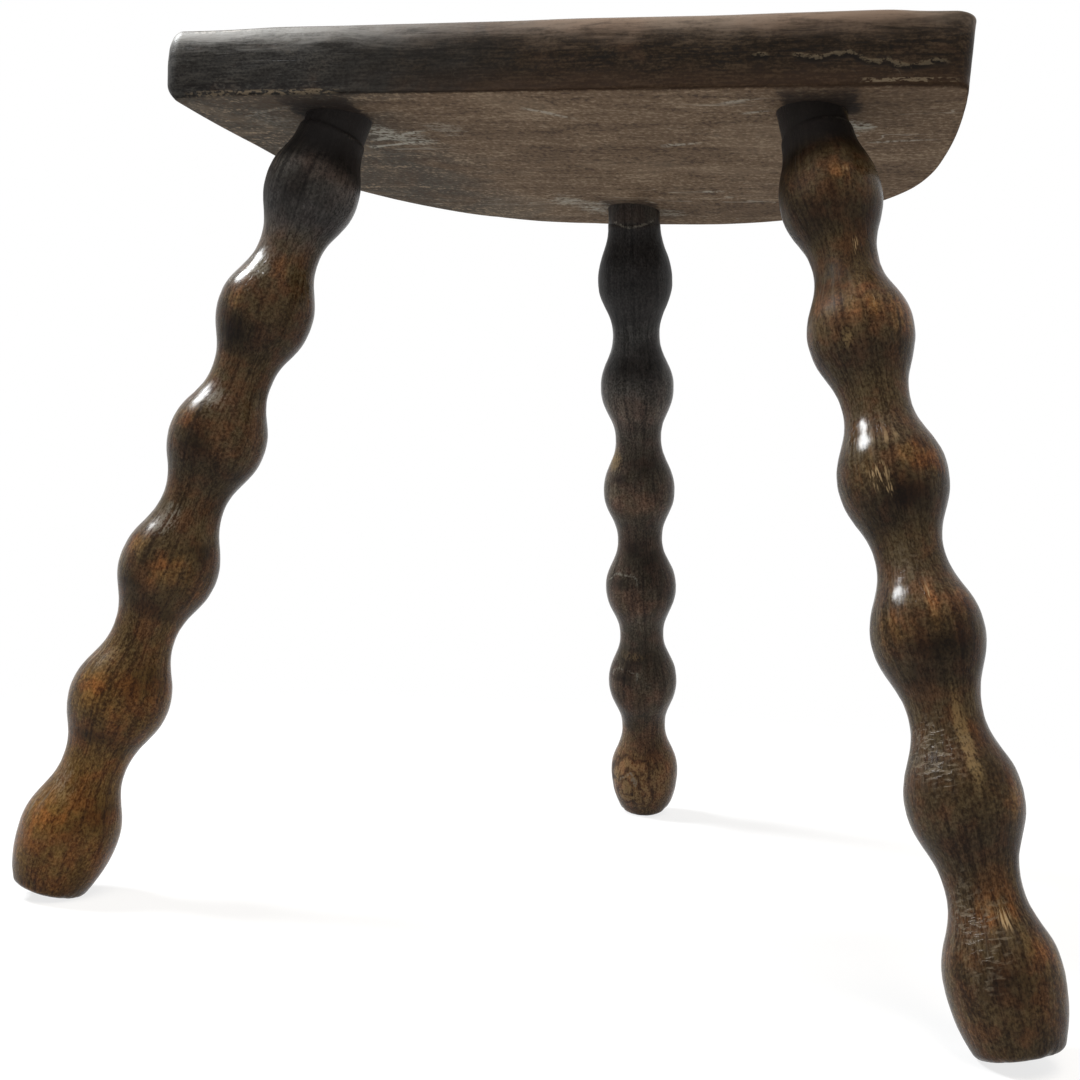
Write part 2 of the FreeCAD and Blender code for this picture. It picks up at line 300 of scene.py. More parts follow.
# Scratches on the underside: start and end, right of the middle and back of the front, half width and strength
SCRATCHES = (
    (-0.086, 0.057, -0.053, 0.048, 0.0016, 0.8), (-0.081, 0.049, -0.051, 0.036, 0.0016, 0.7),
    (-0.120, 0.021, -0.090, 0.010, 0.0016, 0.2), (-0.011, 0.015, 0.008, 0.029, 0.0018, 0.5),
    (0.063, 0.024, 0.077, 0.020, 0.0014, 0.6), (0.058, 0.014, 0.076, 0.008, 0.0014, 0.5),
    (0.029, 0.057, 0.049, 0.053, 0.0016, 0.6), (0.103, 0.054, 0.130, 0.051, 0.0014, 0.6),
    (0.033, 0.115, 0.048, 0.115, 0.0018, 0.6),
)
# Lamps: direction from the stool, distance, size, tint and whether polish mirrors it
LAMPS = {
    "window": ((-0.70, -0.07, 0.71), 1.5, 0.40, (0.95, 0.98, 1.0), True),
    "ceiling": ((0.26, -0.34, 0.90), 1.6, 0.9, (1.0, 0.93, 0.84), False),
    "fill": ((0.50, 0.80, 0.33), 1.6, 1.1, (1.0, 0.97, 0.93), False),
}
LIT_POINT = Vector((0.0, -0.05, 0.15))
WHITE = (1.0, 1.0, 1.0)
# Near-black for stain, and for the painted shadow under the shake
BLACK_STAIN_AND_SHADOW = (0.006, 0.0045, 0.0036)
CHALK = (0.250, 0.240, 0.205)


# Node trees


class Value:
    """A number in a node tree, so that a rule reads as a plain sum."""

    def __init__(self, graph, socket):
        self.graph = graph
        self.socket = socket

    def __add__(self, other):
        return self.graph.math("ADD", self, other)

    def __sub__(self, other):
        return self.graph.math("SUBTRACT", self, other)

    def __rsub__(self, other):
        return self.graph.math("SUBTRACT", other, self)

    def __mul__(self, other):
        return self.graph.math("MULTIPLY", self, other)

    def __truediv__(self, other):
        return self.graph.math("DIVIDE", self, other)

    def __abs__(self):
        return self.graph.math("ABSOLUTE", self)

    __radd__ = __add__
    __rmul__ = __mul__

    def most(self, other):
        """The larger of two."""
        return self.graph.math("MAXIMUM", self, other)

    def step(self, low, high):
        """0 below low and 1 above high, with a soft step between; low may be the larger."""
        return self.share(low, high, "SMOOTHSTEP")

    def share(self, low, high, kind="LINEAR"):
        """How far it lies on the way from low to high, 0 to 1."""
        made = self.graph.node("ShaderNodeMapRange", {"interpolation_type": kind}, Value=self,
                               From_Min=low, From_Max=high)
        return Value(self.graph, made.outputs[0])


class Tone:
    """A colour that a material lays on coat by coat, as far as a share says."""

    def __init__(self, graph, share, first, second):
        self.graph = graph
        self.socket = graph.blend(share, first, second)

    def coat(self, share, cover):
        """Covers the tone."""
        self.socket = self.graph.blend(share, self.socket, cover)

    def tint(self, share, factor):
        """Multiplies the tone."""
        self.socket = self.graph.vector("MULTIPLY", self.socket, self.graph.blend(share, WHITE, factor))


class Graph:
    """Adds nodes to a tree; an input may be a number, a tuple or another node's output."""

    def __init__(self, tree):
        self.tree = tree

    def put(self, socket, value):
        value = getattr(value, "socket", value)
        if isinstance(value, bpy.types.NodeSocket):
            self.tree.links.new(value, socket)
        elif socket.type == "RGBA":
            socket.default_value = (*value[:3], 1.0)
        else:
            socket.default_value = value

    def put_all(self, sockets, values):
        for socket, value in zip(sockets, values):
            self.put(socket, value)

    def node(self, kind, settings=None, **inputs):
        made = self.tree.nodes.new(kind)
        for name, value in (settings or {}).items():
            setattr(made, name, value)
        for name, value in inputs.items():
            self.put(made.inputs[name.replace("_", " ")], value)
        return made

    def math(self, operation, *values):
        made = self.node("ShaderNodeMath", {"operation": operation})
        self.put_all(made.inputs, values)
        return Value(self, made.outputs[0])

    def vector(self, operation, *values):
        made = self.node("ShaderNodeVectorMath", {"operation": operation})
        self.put_all(made.inputs, values)
        if operation in ("DISTANCE", "DOT_PRODUCT"):
            return Value(self, made.outputs["Value"])
        return made.outputs["Vector"]

    def parts(self, vector):
        made = self.node("ShaderNodeSeparateXYZ", Vector=vector)
        return [Value(self, socket) for socket in made.outputs]

    def point(self, x, y, z):
        return self.node("ShaderNodeCombineXYZ", X=x, Y=y, Z=z).outputs[0]

    def choose(self, test, yes, no):
        """Yes where the test is 1 and no where it is 0."""
        return no + (yes - no) * test

    def blend(self, share, first, second):
        """Colour mix; its factor and colours are the first, seventh and eighth sockets."""
        made = self.node("ShaderNodeMix", {"data_type": "RGBA"})
        self.put_all((made.inputs[0], made.inputs[6], made.inputs[7]), (share, first, second))
        return made.outputs[2]

    def mix_shaders(self, share, first, second):
        made = self.node("ShaderNodeMixShader")
        self.put_all(made.inputs, (share, first.outputs[0], second.outputs[0]))
        return made

    def noise(self, vector, scale, detail=3.0, roughness=0.55, distortion=0.0):
        """Uneven field about zero; the scale is a number, or a tuple with one for each axis."""
        if isinstance(scale, tuple):
            vector = self.vector("MULTIPLY", vector, scale)
            scale = 1.0
        made = self.node("ShaderNodeTexNoise", Vector=vector, Scale=scale, Detail=detail,
                         Roughness=roughness, Distortion=distortion)
        return Value(self, made.outputs[0]) - 0.5

    def group(self, name, vector, **inputs):
        """A shared node group, made at its first use; gives its outputs by name."""
        tree = bpy.data.node_groups.get(name) or GROUPS[name](name)
        made = self.node("ShaderNodeGroup", {"node_tree": tree}, Vector=vector, **inputs)
        return {socket.name: Value(self, socket) for socket in made.outputs}

    def attribute(self, name, output="Fac"):
        socket = self.node("ShaderNodeAttribute", {"attribute_name": name}).outputs[output]
        return Value(self, socket) if output == "Fac" else socket


def new_tree(name, kind, inputs, outputs):
    """A node group with named sockets; gives the tree, its graph and its inputs by name."""
    tree = bpy.data.node_groups.new(name, kind)
    for socket_name, socket_kind, default in inputs:
        socket = tree.interface.new_socket(name=socket_name, in_out="INPUT", socket_type="NodeSocket" + socket_kind)
        if default is not None:
            socket.default_value = default
    for socket_name, socket_kind in outputs:
        tree.interface.new_socket(name=socket_name, in_out="OUTPUT", socket_type="NodeSocket" + socket_kind)
    graph = Graph(tree)
    given = {}
    for socket in graph.node("NodeGroupInput").outputs:
        given[socket.name] = Value(graph, socket) if socket.type in ("VALUE", "INT") else socket
    return tree, graph, given


def effect_tree(name, outputs, **inputs):
    """A shader group that takes a Vector and further inputs with defaults, and puts out numbers."""
    sockets = [("Vector", "Vector", None)]
    for socket_name, default in inputs.items():
        sockets.append((socket_name, "Vector" if isinstance(default, tuple) else "Float", default))
    return new_tree(name, "ShaderNodeTree", sockets, [(output, "Float") for output in outputs])


def close_tree(graph, **outputs):
    """Joins a group's results to its output sockets."""
    graph.node("NodeGroupOutput", **outputs)


def grain_group(name):
    """Wood grain that is drawn out along one direction by its frequency on each axis."""
    tree, graph, given = effect_tree(name, ("Fine", "Broad", "Height"), Frequency=(400.0, 400.0, 30.0))
    drawn = graph.vector("MULTIPLY", given["Vector"], given["Frequency"])
    fine = graph.noise(drawn, 1.0, 5.0, 0.62, 0.5)
    broad = graph.noise(drawn, 0.17, 3.0, 0.5, 0.8)
    pores = graph.noise(drawn, 2.3, 2.0, 0.5, 0.2).step(0.10, 0.22)
    height = fine * 0.55 + broad * 0.30 - pores * 0.45 + 0.425
    close_tree(graph, Fine=fine, Broad=broad, Height=height)
    return tree


def blotch_group(name):
    """Soft-edged patches of one size."""
    tree, graph, given = effect_tree(name, ("Mask", "Field"), Scale=60.0, Low=0.0, High=0.15)
    field = graph.noise(given["Vector"], given["Scale"], 4.0, 0.6, 0.6)
    close_tree(graph, Mask=field.step(given["Low"], given["High"]), Field=field)
    return tree


def hairline_group(name):
    """Thin broken lines that follow the stretch of their frequency."""
    tree, graph, given = effect_tree(name, ("Mask",), Frequency=(20.0, 300.0, 300.0), Width=0.02, Breaks=0.0)
    drawn = graph.vector("MULTIPLY", given["Vector"], given["Frequency"])
    line = 1.0 - abs(graph.noise(drawn, 1.0, 2.0, 0.5, 0.7)).step(0.0, given["Width"])
    broken = graph.noise(drawn, 0.37, 2.0, 0.6, 0.3).step(given["Breaks"], given["Breaks"] + 0.12)
    close_tree(graph, Mask=line * broken)
    return tree


GROUPS = {"wood_grain": grain_group, "blotches": blotch_group, "hairlines": hairline_group}


# Materials


def blank(owner):
    """Clears the node tree of a material or world, and gives its graph."""
    owner.use_nodes = True
    owner.node_tree.nodes.clear()
    return Graph(owner.node_tree)


def new_material(name):
    """An empty material with its Principled shader wired up; gives both and its graph."""
    material = bpy.data.materials.new(name)
    graph = blank(material)
    shader = graph.node("ShaderNodeBsdfPrincipled")
    graph.node("ShaderNodeOutputMaterial", Surface=shader.outputs[0])
    return material, graph, shader


def wood_finish(graph, shader, tone, rough, shine, height, strength, distance):
    """Joins up a wood's colour, roughness and the relief that is too fine for the mesh."""
    bump = graph.node("ShaderNodeBump", Height=height, Strength=strength, Distance=distance)
    graph.put(shader.inputs["Base Color"], tone)
    graph.put(shader.inputs["Roughness"], rough)
    graph.put(shader.inputs["Normal"], bump.outputs[0])
    shader.inputs["Specular IOR Level"].default_value = shine


def seat_material(tones):
    """Stained plank: dark edges, a dry underside and a top thinned by use."""
    material, graph, shader = new_material("stained_plank")
    place = graph.node("ShaderNodeTexCoord").outputs["Object"]
    x, y, z = graph.parts(place)
    right, back, up = x - MIDDLE_X, y - FRONT_Y, z - UNDER_Z
    grain = graph.group("wood_grain", place, Frequency=(26.0, 620.0, 620.0))
    fine, broad = grain["Fine"], grain["Broad"]
    patch = graph.group("blotches", place, Scale=85.0, Low=-0.05, High=0.16)
    cloud = graph.group("blotches", place, Scale=26.0, Low=-0.08, High=0.12)
    patchy, cloudy = patch["Field"], cloud["Field"]
    speck = graph.group("blotches", place, Scale=420.0)["Field"]
    tooth = graph.noise(place, (850.0, 1400.0, 1400.0), 2.0, 0.6)
    bands = graph.noise(place, (45.0, 330.0, 330.0), 4.0, 0.65, 0.8)
    threads = graph.noise(place, (110.0, 1150.0, 1150.0), 2.0, 0.6, 0.4)

    # Edge: black stain at the left, browner to the right, paler towards the top, partly rubbed and partly painted
    # light from above
    front = (back + patchy * 0.012).step(0.022, 0.005)
    along = (right + patchy * 0.10).step(-0.085, 0.005).most(1.0 - front)
    edge = Tone(graph, along, tones.stain_left, tones.stain_right)
    light = (tooth * 0.45 + threads * 0.45 + fine * 0.2 + patchy * 0.2).step(-0.05, 0.17)
    edge.coat(light * 0.80, graph.blend(along, (0.050, 0.046, 0.040), (0.050, 0.034, 0.021)))
    edge.coat((tooth + threads).step(0.04, -0.22) * 0.80, BLACK_STAIN_AND_SHADOW)
    edge.tint((bands * 0.7 + patchy * 0.3).step(0.07, -0.07) * 0.50, (0.55, 0.53, 0.53))
    sooty = abs(right + 0.040).step(0.060, 0.015)
    edge.coat(sooty * 0.35, (0.010, 0.008, 0.006))
    red = patch["Mask"] * broad.step(-0.05, 0.10) * cloudy.step(-0.05, 0.10) * 0.45
    low_red = (up + patchy * 0.012).step(0.010, 0.002) * along * 0.35
    edge.coat(red.most(low_red), (0.050, 0.028, 0.017))
    mark = graph.group("hairlines", place, Frequency=(130.0, 130.0, 150.0), Width=0.016, Breaks=0.06)
    edge.coat(mark["Mask"] * 0.30, (0.085, 0.072, 0.055))
    # The pale band over the upper edge: partly rubbed wear, partly painted light
    pale = Tone(graph, along, tones.rubbed_and_lit_grey, tones.rubbed)
    pale.coat(right.step(0.070, 0.120) * 0.4, (0.070, 0.050, 0.034))
    pale.coat((tooth * 0.35 + bands * 0.65).step(0.04, -0.11) * 0.34, (0.060, 0.048, 0.038))
    pale.tint(cloud["Mask"] * along * 0.7, (1.07, 0.97, 0.92))
    pale.coat(sooty * 0.45, (0.060, 0.050, 0.044))
    pale.coat(1.0 - front, (0.072, 0.050, 0.033))
    # Paler towards the top of the edge: partly wear, partly painted light from above
    high = (up + patchy * 0.006 + bands * 0.011 + threads * 0.003).step(0.0125, THICKNESS - 0.0010)
    edge.coat(high * (0.35 + 0.60 * high), pale)
    # Pale flakes along the top left edge, partly scuffs and partly a painted glare
    edge.coat((graph.attribute("scuff") + speck * 1.6).step(0.45, 0.75), (0.36, 0.35, 0.33))

    # Shake, with a painted shadow under it, and bruised arris
    chatter = graph.noise(place, (420.0, 420.0, 1100.0), 2.0, 0.5)
    stray = graph.attribute("shake_offset") + chatter * 0.0022 + tooth * 0.0012
    shake = graph.attribute("shake")
    # Dark line just under the shake's pale line: painted shadow
    edge.coat(abs(stray + 0.0012).step(0.0011, 0.0003) * shake * 0.65, BLACK_STAIN_AND_SHADOW)
    sliver = abs(stray).step(0.00085, 0.00025) * shake * (speck + tooth * 0.6).step(-0.14, 0.04)
    edge.coat(sliver * 0.65, (0.112, 0.088, 0.058))
    above = up + chatter * 0.0012
    bruise = abs(above - 0.0012 - along * 0.0010).step(0.0013 - along * 0.0005, 0.0005)
    bruise = bruise * graph.attribute("bruise") * (chatter + tooth * 0.3).step(-0.06, 0.04)
    edge.coat(bruise * 0.85, (0.135, 0.104, 0.070))
    black = abs(above - 0.0035).step(0.0016, 0.0004) * graph.attribute("black")
    edge.coat(black * chatter.step(0.06, -0.04) * 0.85, (0.006, 0.0045, 0.004))

    # Top
    worn = (broad + fine * 0.7 + tooth * 0.4).step(-0.2, 0.2)
    top = Tone(graph, worn, (0.026, 0.015, 0.008), tones.top_worn)
    middle = graph.vector("DISTANCE", place, (MIDDLE_X, FRONT_Y + 0.48 * DEPTH, TOP_Z))
    top.coat((middle + cloudy * 0.10).step(0.05, 0.12) * 0.7, (0.026, 0.017, 0.011))
    nick = graph.group("hairlines", place, Frequency=(60.0, 180.0, 100.0), Width=0.012, Breaks=0.02)
    top.coat(nick["Mask"] * 0.45, (0.16, 0.125, 0.085))
    on_top = graph.attribute("lid").step(0.25, 0.75)
    edge.coat(on_top, top)

    # Underside
    grey = (right + cloudy * 0.14).step(-0.035, -0.085)
    dry = Tone(graph, grey, tones.underside, (0.044, 0.040, 0.034))
    sawn = graph.noise(place, (95.0, 460.0, 460.0), 4.0, 0.62, 0.5)
    streak = graph.noise(place, (16.0, 95.0, 95.0), 3.0, 0.6, 1.2)
    sand = graph.noise(place, 620.0, 2.0, 0.6)
    low_grain = sawn * 0.55 + streak * 0.65 + sand
    dry.coat(low_grain.step(0.02, -0.26), (0.040, 0.027, 0.018))
    dry.coat(low_grain.step(0.0, 0.26), (0.180, 0.135, 0.092))
    dry.coat(cloud["Mask"] * 0.34, (0.070, 0.046, 0.029))
    dry.coat(cloudy.step(0.0, -0.14) * 0.34, (0.145, 0.106, 0.072))
    line = graph.group("hairlines", place, Frequency=(16.0, 95.0, 90.0), Width=0.010, Breaks=0.04)
    dry.coat(line["Mask"] * 0.75, (0.25, 0.225, 0.185))
    rag = patchy * 0.010 + fine * 0.006 + tooth * 0.004
    # A darker patch on the underside ahead of each socket
    for leg in LEGS:
        shift, half, reach, share = leg.stain
        aside = abs(x - (leg.foot.x + shift)) + rag
        ahead = leg.foot.y - y + rag
        stain = aside.step(half, half - 0.0035) * ahead.step(reach, 0.010) * ahead.step(-0.004, 0.002)
        dry.coat(stain * share, (0.009, 0.007, 0.007))
    rag = fine * 0.020 + patchy * 0.016 + tooth * 0.010
    broken = (sawn * 0.6 + sand * 0.4).step(-0.10, 0.08)
    for spot_right, spot_back, reach, share in SMEARS:
        near = graph.vector("DISTANCE", place, under_point(spot_right, spot_back)) + rag
        dry.coat(near.step(reach, reach * 0.3) * broken * share, CHALK)
    broken = sand.step(-0.14, 0.04)
    for start_right, start_back, end_right, end_back, half, share in SCRATCHES:
        start = under_point(start_right, start_back)
        run = under_point(end_right, end_back) - start
        ahead = run.normalized()
        side = Vector((-ahead.y, ahead.x, 0.0))
        gone = graph.vector("DOT_PRODUCT", place, ahead) - start.dot(ahead)
        aside = abs(graph.vector("DOT_PRODUCT", place, side) - start.dot(side) + streak * 0.006)
        scratch = aside.step(half, half * 0.3) * gone.step(0.0, 0.004) * gone.step(run.length, run.length - 0.010)
        dry.coat(scratch * broken * share, CHALK)
    wrap = graph.attribute("wrap") + patchy * 0.5 + tooth * 0.7
    below = up.step(0.0007, 0.0004) * wrap.step(0.75, 0.30)
    edge.coat(below, dry)

    arris = up.step(0.0024, 0.0010)
    rough = 0.42 + (below * 0.36).most(arris * 0.45) + fine * 0.25 + tooth * 0.2
    relief = grain["Height"] * (0.35 + 0.65 * below.most(on_top)) + speck * 0.3 + tooth * 0.3
    wood_finish(graph, shader, edge, rough, 0.09, relief, 0.5, 0.0004)
    return material


def leg_material(tones):
    """Old varnish over a dark turning, worn to amber on the bulbs and grimy near the seat, with painted shade and
    painted highlights on the bulbs.
    """
    material, graph, shader = new_material("old_varnish")
    mark = graph.attribute
    lathe, skin = mark("turning", "Vector"), mark("skin", "Vector")
    soot, ash, polish = mark("soot"), mark("ash"), mark("polish")
    grain = graph.group("wood_grain", skin, Frequency=(1150.0, 1150.0, 130.0))
    cloudy = graph.group("blotches", lathe, Scale=75.0)["Field"]
    smoke = graph.group("blotches", lathe, Scale=42.0, Low=-0.05, High=0.12)["Mask"]
    speck = graph.group("blotches", skin, Scale=900.0, Low=0.04, High=0.20)
    tooth = graph.noise(skin, (1300.0, 1300.0, 950.0), 3.0, 0.65)
    stripe = graph.noise(skin, (520.0, 520.0, 24.0), 2.0, 0.5, 0.4)
    hue = graph.noise(lathe, 150.0, 2.0, 0.55)

    # Texture of the wood, with growth rings cut by the turning
    pith = graph.vector("MULTIPLY", graph.vector("ADD", lathe, (0.021, 0.013, 0.0)), (1.0, 1.0, 0.09))
    wave = graph.node("ShaderNodeTexWave", {"wave_type": "RINGS", "rings_direction": "Z"}, Vector=pith,
                      Scale=85.0, Distortion=3.5, Detail=2.0, Detail_Scale=1.6, Detail_Roughness=0.5)
    ring = Value(graph, wave.outputs["Fac"])
    mixed = grain["Fine"] * 0.27 + tooth * 0.57 + grain["Broad"] * 0.16
    tone = Tone(graph, mixed.step(-0.14, 0.15), tones.dark, tones.brown)
    tone.coat(speck["Mask"] * (0.22 + 0.25 * ash), (0.120, 0.094, 0.064))
    tone.tint(ring.step(0.60, 0.95) * 0.35, (0.55, 0.48, 0.42))
    tone.tint(hue.step(0.14, -0.14), (0.92, 1.04, 0.96))
    tone.tint(hue.step(-0.06, 0.16), (1.12, 0.96, 0.86))

    # Stain worn thin, thick or dirty, and painted shade under the bulbs
    honey = (mark("honey") + mixed * 0.45 + cloudy * 0.6).step(0.05, 1.0)
    tone.tint(honey, tones.honey)
    tone.tint(smoke * (1.0 - honey * 0.5) * 0.70, (0.52, 0.45, 0.38))
    tone.tint((stripe + tooth * 0.25 + cloudy * 0.3).step(-0.03, -0.17) * 0.75, (0.50, 0.42, 0.36))
    tone.coat(ash, graph.vector("DOT_PRODUCT", tone, (0.60, 0.60, 0.14)))
    tone.tint((mark("rose") + mixed * 0.45 + cloudy * 0.7).step(0.15, 0.95), tones.rose)
    amber = mark("amber") + mixed * 0.45 + stripe * 0.9 + cloudy * 0.3 - soot * 0.4
    tone.tint(amber.step(0.20, 0.95) * (1.0 - honey * 0.65), tones.amber)
    dirty = (soot + cloudy * 0.8 + mixed * 0.5).step(0.15, 0.95)
    tone.tint(dirty, tones.soot)
    # Near-black round the top just under the seat
    tone.coat(soot.step(0.95, 1.50) * 0.75, (0.0210, 0.0185, 0.0180))
    # Darker where the bulbs face downwards: painted shade
    tone.tint(mark("hollow") * 0.8, (0.62, 0.62, 0.66))

    # Rubbed, scraped and scratched places, and painted highlights
    bare = (mark("bare") * (0.5 + mixed.step(-0.12, 0.08)) + cloudy * 0.2).step(0.20, 1.00)
    tone.coat(bare * 0.65, (0.165, 0.110, 0.050))
    # Pale streaks on the bulbs' faces turned to the lamps: a painted highlight
    rubbed = graph.noise(skin, (1000.0, 1000.0, 90.0), 2.0, 0.5, 0.3).step(0.0, 0.18)
    tone.coat(rubbed * mark("crown") * (1.0 - dirty * 0.7) * 0.55, (0.170, 0.138, 0.100))
    # Pale scratches at the glint marks, partly painted highlights
    scratch = graph.noise(skin, (1900.0, 1900.0, 240.0), 2.0, 0.5).step(-0.08, 0.10)
    tone.coat((mark("glint") * scratch).step(0.20, 0.70) * 0.85, (0.300, 0.210, 0.112))
    # Pale lines: painted highlights on the shoulders and beside the window's highlights, and pale growth rings
    rim = mark("rim") * (0.55 + (tooth * 0.6 + stripe * 0.4).step(-0.10, 0.10))
    tone.coat((rim + cloudy * 0.3).step(0.25, 1.05) * 0.75, (0.140, 0.128, 0.105))

    # Crazed varnish, its pale cracks partly painted glints
    across = graph.noise(skin, (330.0, 330.0, 1050.0), 2.0, 0.5).step(0.0, 0.16)
    upright = graph.noise(skin, (950.0, 950.0, 330.0), 2.0, 0.5).step(0.05, 0.20)
    crazed = (mark("craze") + cloudy * 0.8 + tooth * 0.6).step(0.20, 0.90)
    cracks_and_glints = crazed * across.most(upright * 0.7)
    tone.tint(crazed, (0.76, 0.75, 0.75))
    # Pale cracks: partly the crazing, partly painted glints
    tone.coat(cracks_and_glints * 0.65, (0.130, 0.102, 0.070))

    rough = 0.25 + dirty * 0.18 + mixed * 0.40 + bare * 0.10 - polish * 0.07 + mark("matte") * 0.55
    height = grain["Height"] * 0.8 + (speck["Field"] + 0.5) * 0.15 - cracks_and_glints * 0.8
    wood_finish(graph, shader, tone, rough.most(0.12), 0.09, height * (1.0 - polish * 0.60), 0.42, 0.0004)
    graph.put(shader.inputs["Coat Weight"], (polish + tooth * 0.5).step(0.30, 1.00) * 0.15)
    shader.inputs["Coat Roughness"].default_value = 0.16
    return material


def wedge_material():
    """Driven hardwood wedge, its end grain rubbed dark."""
    material, graph, shader = new_material("wedge_end_grain")
    place = graph.node("ShaderNodeTexCoord").outputs["Object"]
    grain = graph.group("wood_grain", place, Frequency=(700.0, 260.0, 120.0))
    speck = graph.group("blotches", place, Scale=600.0, Low=-0.05, High=0.12)
    tone = Tone(graph, grain["Fine"].step(-0.15, 0.15), (0.055, 0.032, 0.018), (0.165, 0.105, 0.058))
    tone.coat(speck["Mask"] * 0.6, (0.030, 0.020, 0.013))
    wood_finish(graph, shader, tone, 0.5 + grain["Fine"] * 0.2, 0.2, grain["Height"], 0.4, 0.0003)
    return material


# Mesh helpers


def new_object(name, data):
    made = bpy.data.objects.new(name, data)
    bpy.context.scene.collection.objects.link(made)
    return made


def baked(made):
    """Replaces an object's mesh by what its modifiers make of it, and removes them."""
    graph = bpy.context.evaluated_depsgraph_get()
    mesh = bpy.data.meshes.new_from_object(made.evaluated_get(graph), preserve_all_data_layers=True,
                                           depsgraph=graph)
    made.modifiers.clear()
    old = made.data
    made.data = mesh
    bpy.data.meshes.remove(old)
    return mesh


def close_mesh(mesh, merge_distance):
    """Merges doubles, drops slivers, turns faces outwards and marks real edges sharp."""
    work = bmesh.new()
    work.from_mesh(mesh)
    bmesh.ops.remove_doubles(work, verts=work.verts, dist=merge_distance)
    bmesh.ops.dissolve_degenerate(work, edges=work.edges, dist=merge_distance)
    bmesh.ops.recalc_face_normals(work, faces=work.faces)
    work.to_mesh(mesh)
    work.free()
    mesh.shade_smooth()
    mesh.set_sharp_from_angle(angle=math.radians(50))
    mesh.update()


def read_vectors(items, name):
    flat = np.empty(len(items) * 3, np.float32)
    items.foreach_get(name, flat)
    return flat.reshape(-1, 3).astype(float)


def set_coordinates(mesh, points):
    mesh.vertices.foreach_set("co", points.astype(np.float32).ravel())
    mesh.update()


def paint(mesh, name, values):
    """A number or a vector on every vertex."""
    values = np.asarray(values, np.float32)
    kind, field = ("FLOAT_VECTOR", "vector") if values.ndim == 2 else ("FLOAT", "value")
    mesh.attributes.new(name, kind, "POINT").data.foreach_set(field, values.ravel())


def mix(first, second, share):
    return first + (second - first) * share


def soft_step(value, low, high):
    share = np.clip((value - low) / (high - low), 0.0, 1.0)
    return share * share * (3 - 2 * share)


def between(value, start, end, rise, fall):
    """1 from start to end, with a soft rise inside the one and a soft fall inside the other."""
    return soft_step(value, start, start + rise) * soft_step(value, end, end - fall)


def ripple(points, wavelength, seed):
    """Smooth uneven field of about -1 to 1, as a fixed sum of waves in set directions."""
    random = np.random.default_rng(seed)
    total = np.zeros(len(points))
    for _ in range(10):
        direction = random.normal(size=points.shape[1])
        direction /= np.linalg.norm(direction)
        size = wavelength * random.uniform(0.6, 1.6)
        total += np.sin(points @ direction * (2 * math.pi / size) + random.uniform(0, 2 * math.pi))
    return total / 4.5


# Seat


def arc_points(centre, radius, start, end, step):
    """Points and outward normals along an arc, without its last point."""
    count = max(2, int(abs(end - start) * radius / step) + 1)
    angles = np.linspace(start, end, count)[:-1]
    normals = np.stack([np.cos(angles), np.sin(angles)], 1)
    return np.asarray(centre) + normals * radius, normals


def seat_outline(shape):
    """The plan: a straight front and tangent arcs, as points and outward normals, front left first."""
    fine_step = 0.0005
    coarse_step = 0.0019
    corner = shape.corner_radius
    side = np.array([HALF_WIDTH - shape.side_radius, 0.0])
    back = np.array([0.0, DEPTH - shape.back_radius])
    to_side = shape.side_radius - shape.rounding_radius
    to_back = shape.back_radius - shape.rounding_radius
    apart = np.linalg.norm(back - side)
    along = (back - side) / apart
    outward = np.array([-along[1], along[0]])
    advance = (to_side ** 2 - to_back ** 2 + apart ** 2) / (2 * apart)
    rounding = side + along * advance + outward * math.sqrt(to_side ** 2 - advance ** 2)
    corner_x = side[0] + math.sqrt((shape.side_radius - corner) ** 2 - corner ** 2)
    corner_end = math.atan2(corner, corner_x - side[0])
    side_end = math.atan2(rounding[1], rounding[0] - side[0])
    back_start = math.atan2(rounding[1] - back[1], rounding[0])
    right = [
        arc_points((corner_x, corner), corner, -math.pi / 2, corner_end, fine_step),
        arc_points(side, shape.side_radius, corner_end, side_end, coarse_step),
        arc_points(rounding, shape.rounding_radius, side_end, back_start, coarse_step),
        arc_points(back, shape.back_radius, back_start, math.pi / 2, coarse_step),
    ]
    points, normals = (np.concatenate(part) for part in zip(*right))
    mirror = np.array([-1.0, 1.0])
    front = np.linspace(-corner_x, corner_x, int(2 * corner_x / fine_step) + 1)[1:-1]
    ahead = np.tile([0.0, -1.0], (len(front), 1))
    front = np.stack([front, np.zeros_like(front)], 1)
    points = np.concatenate([front, points, [[0.0, DEPTH]], points[::-1] * mirror])
    normals = np.concatenate([ahead, normals, [[0.0, 1.0]], normals[::-1] * mirror])
    return points, normals


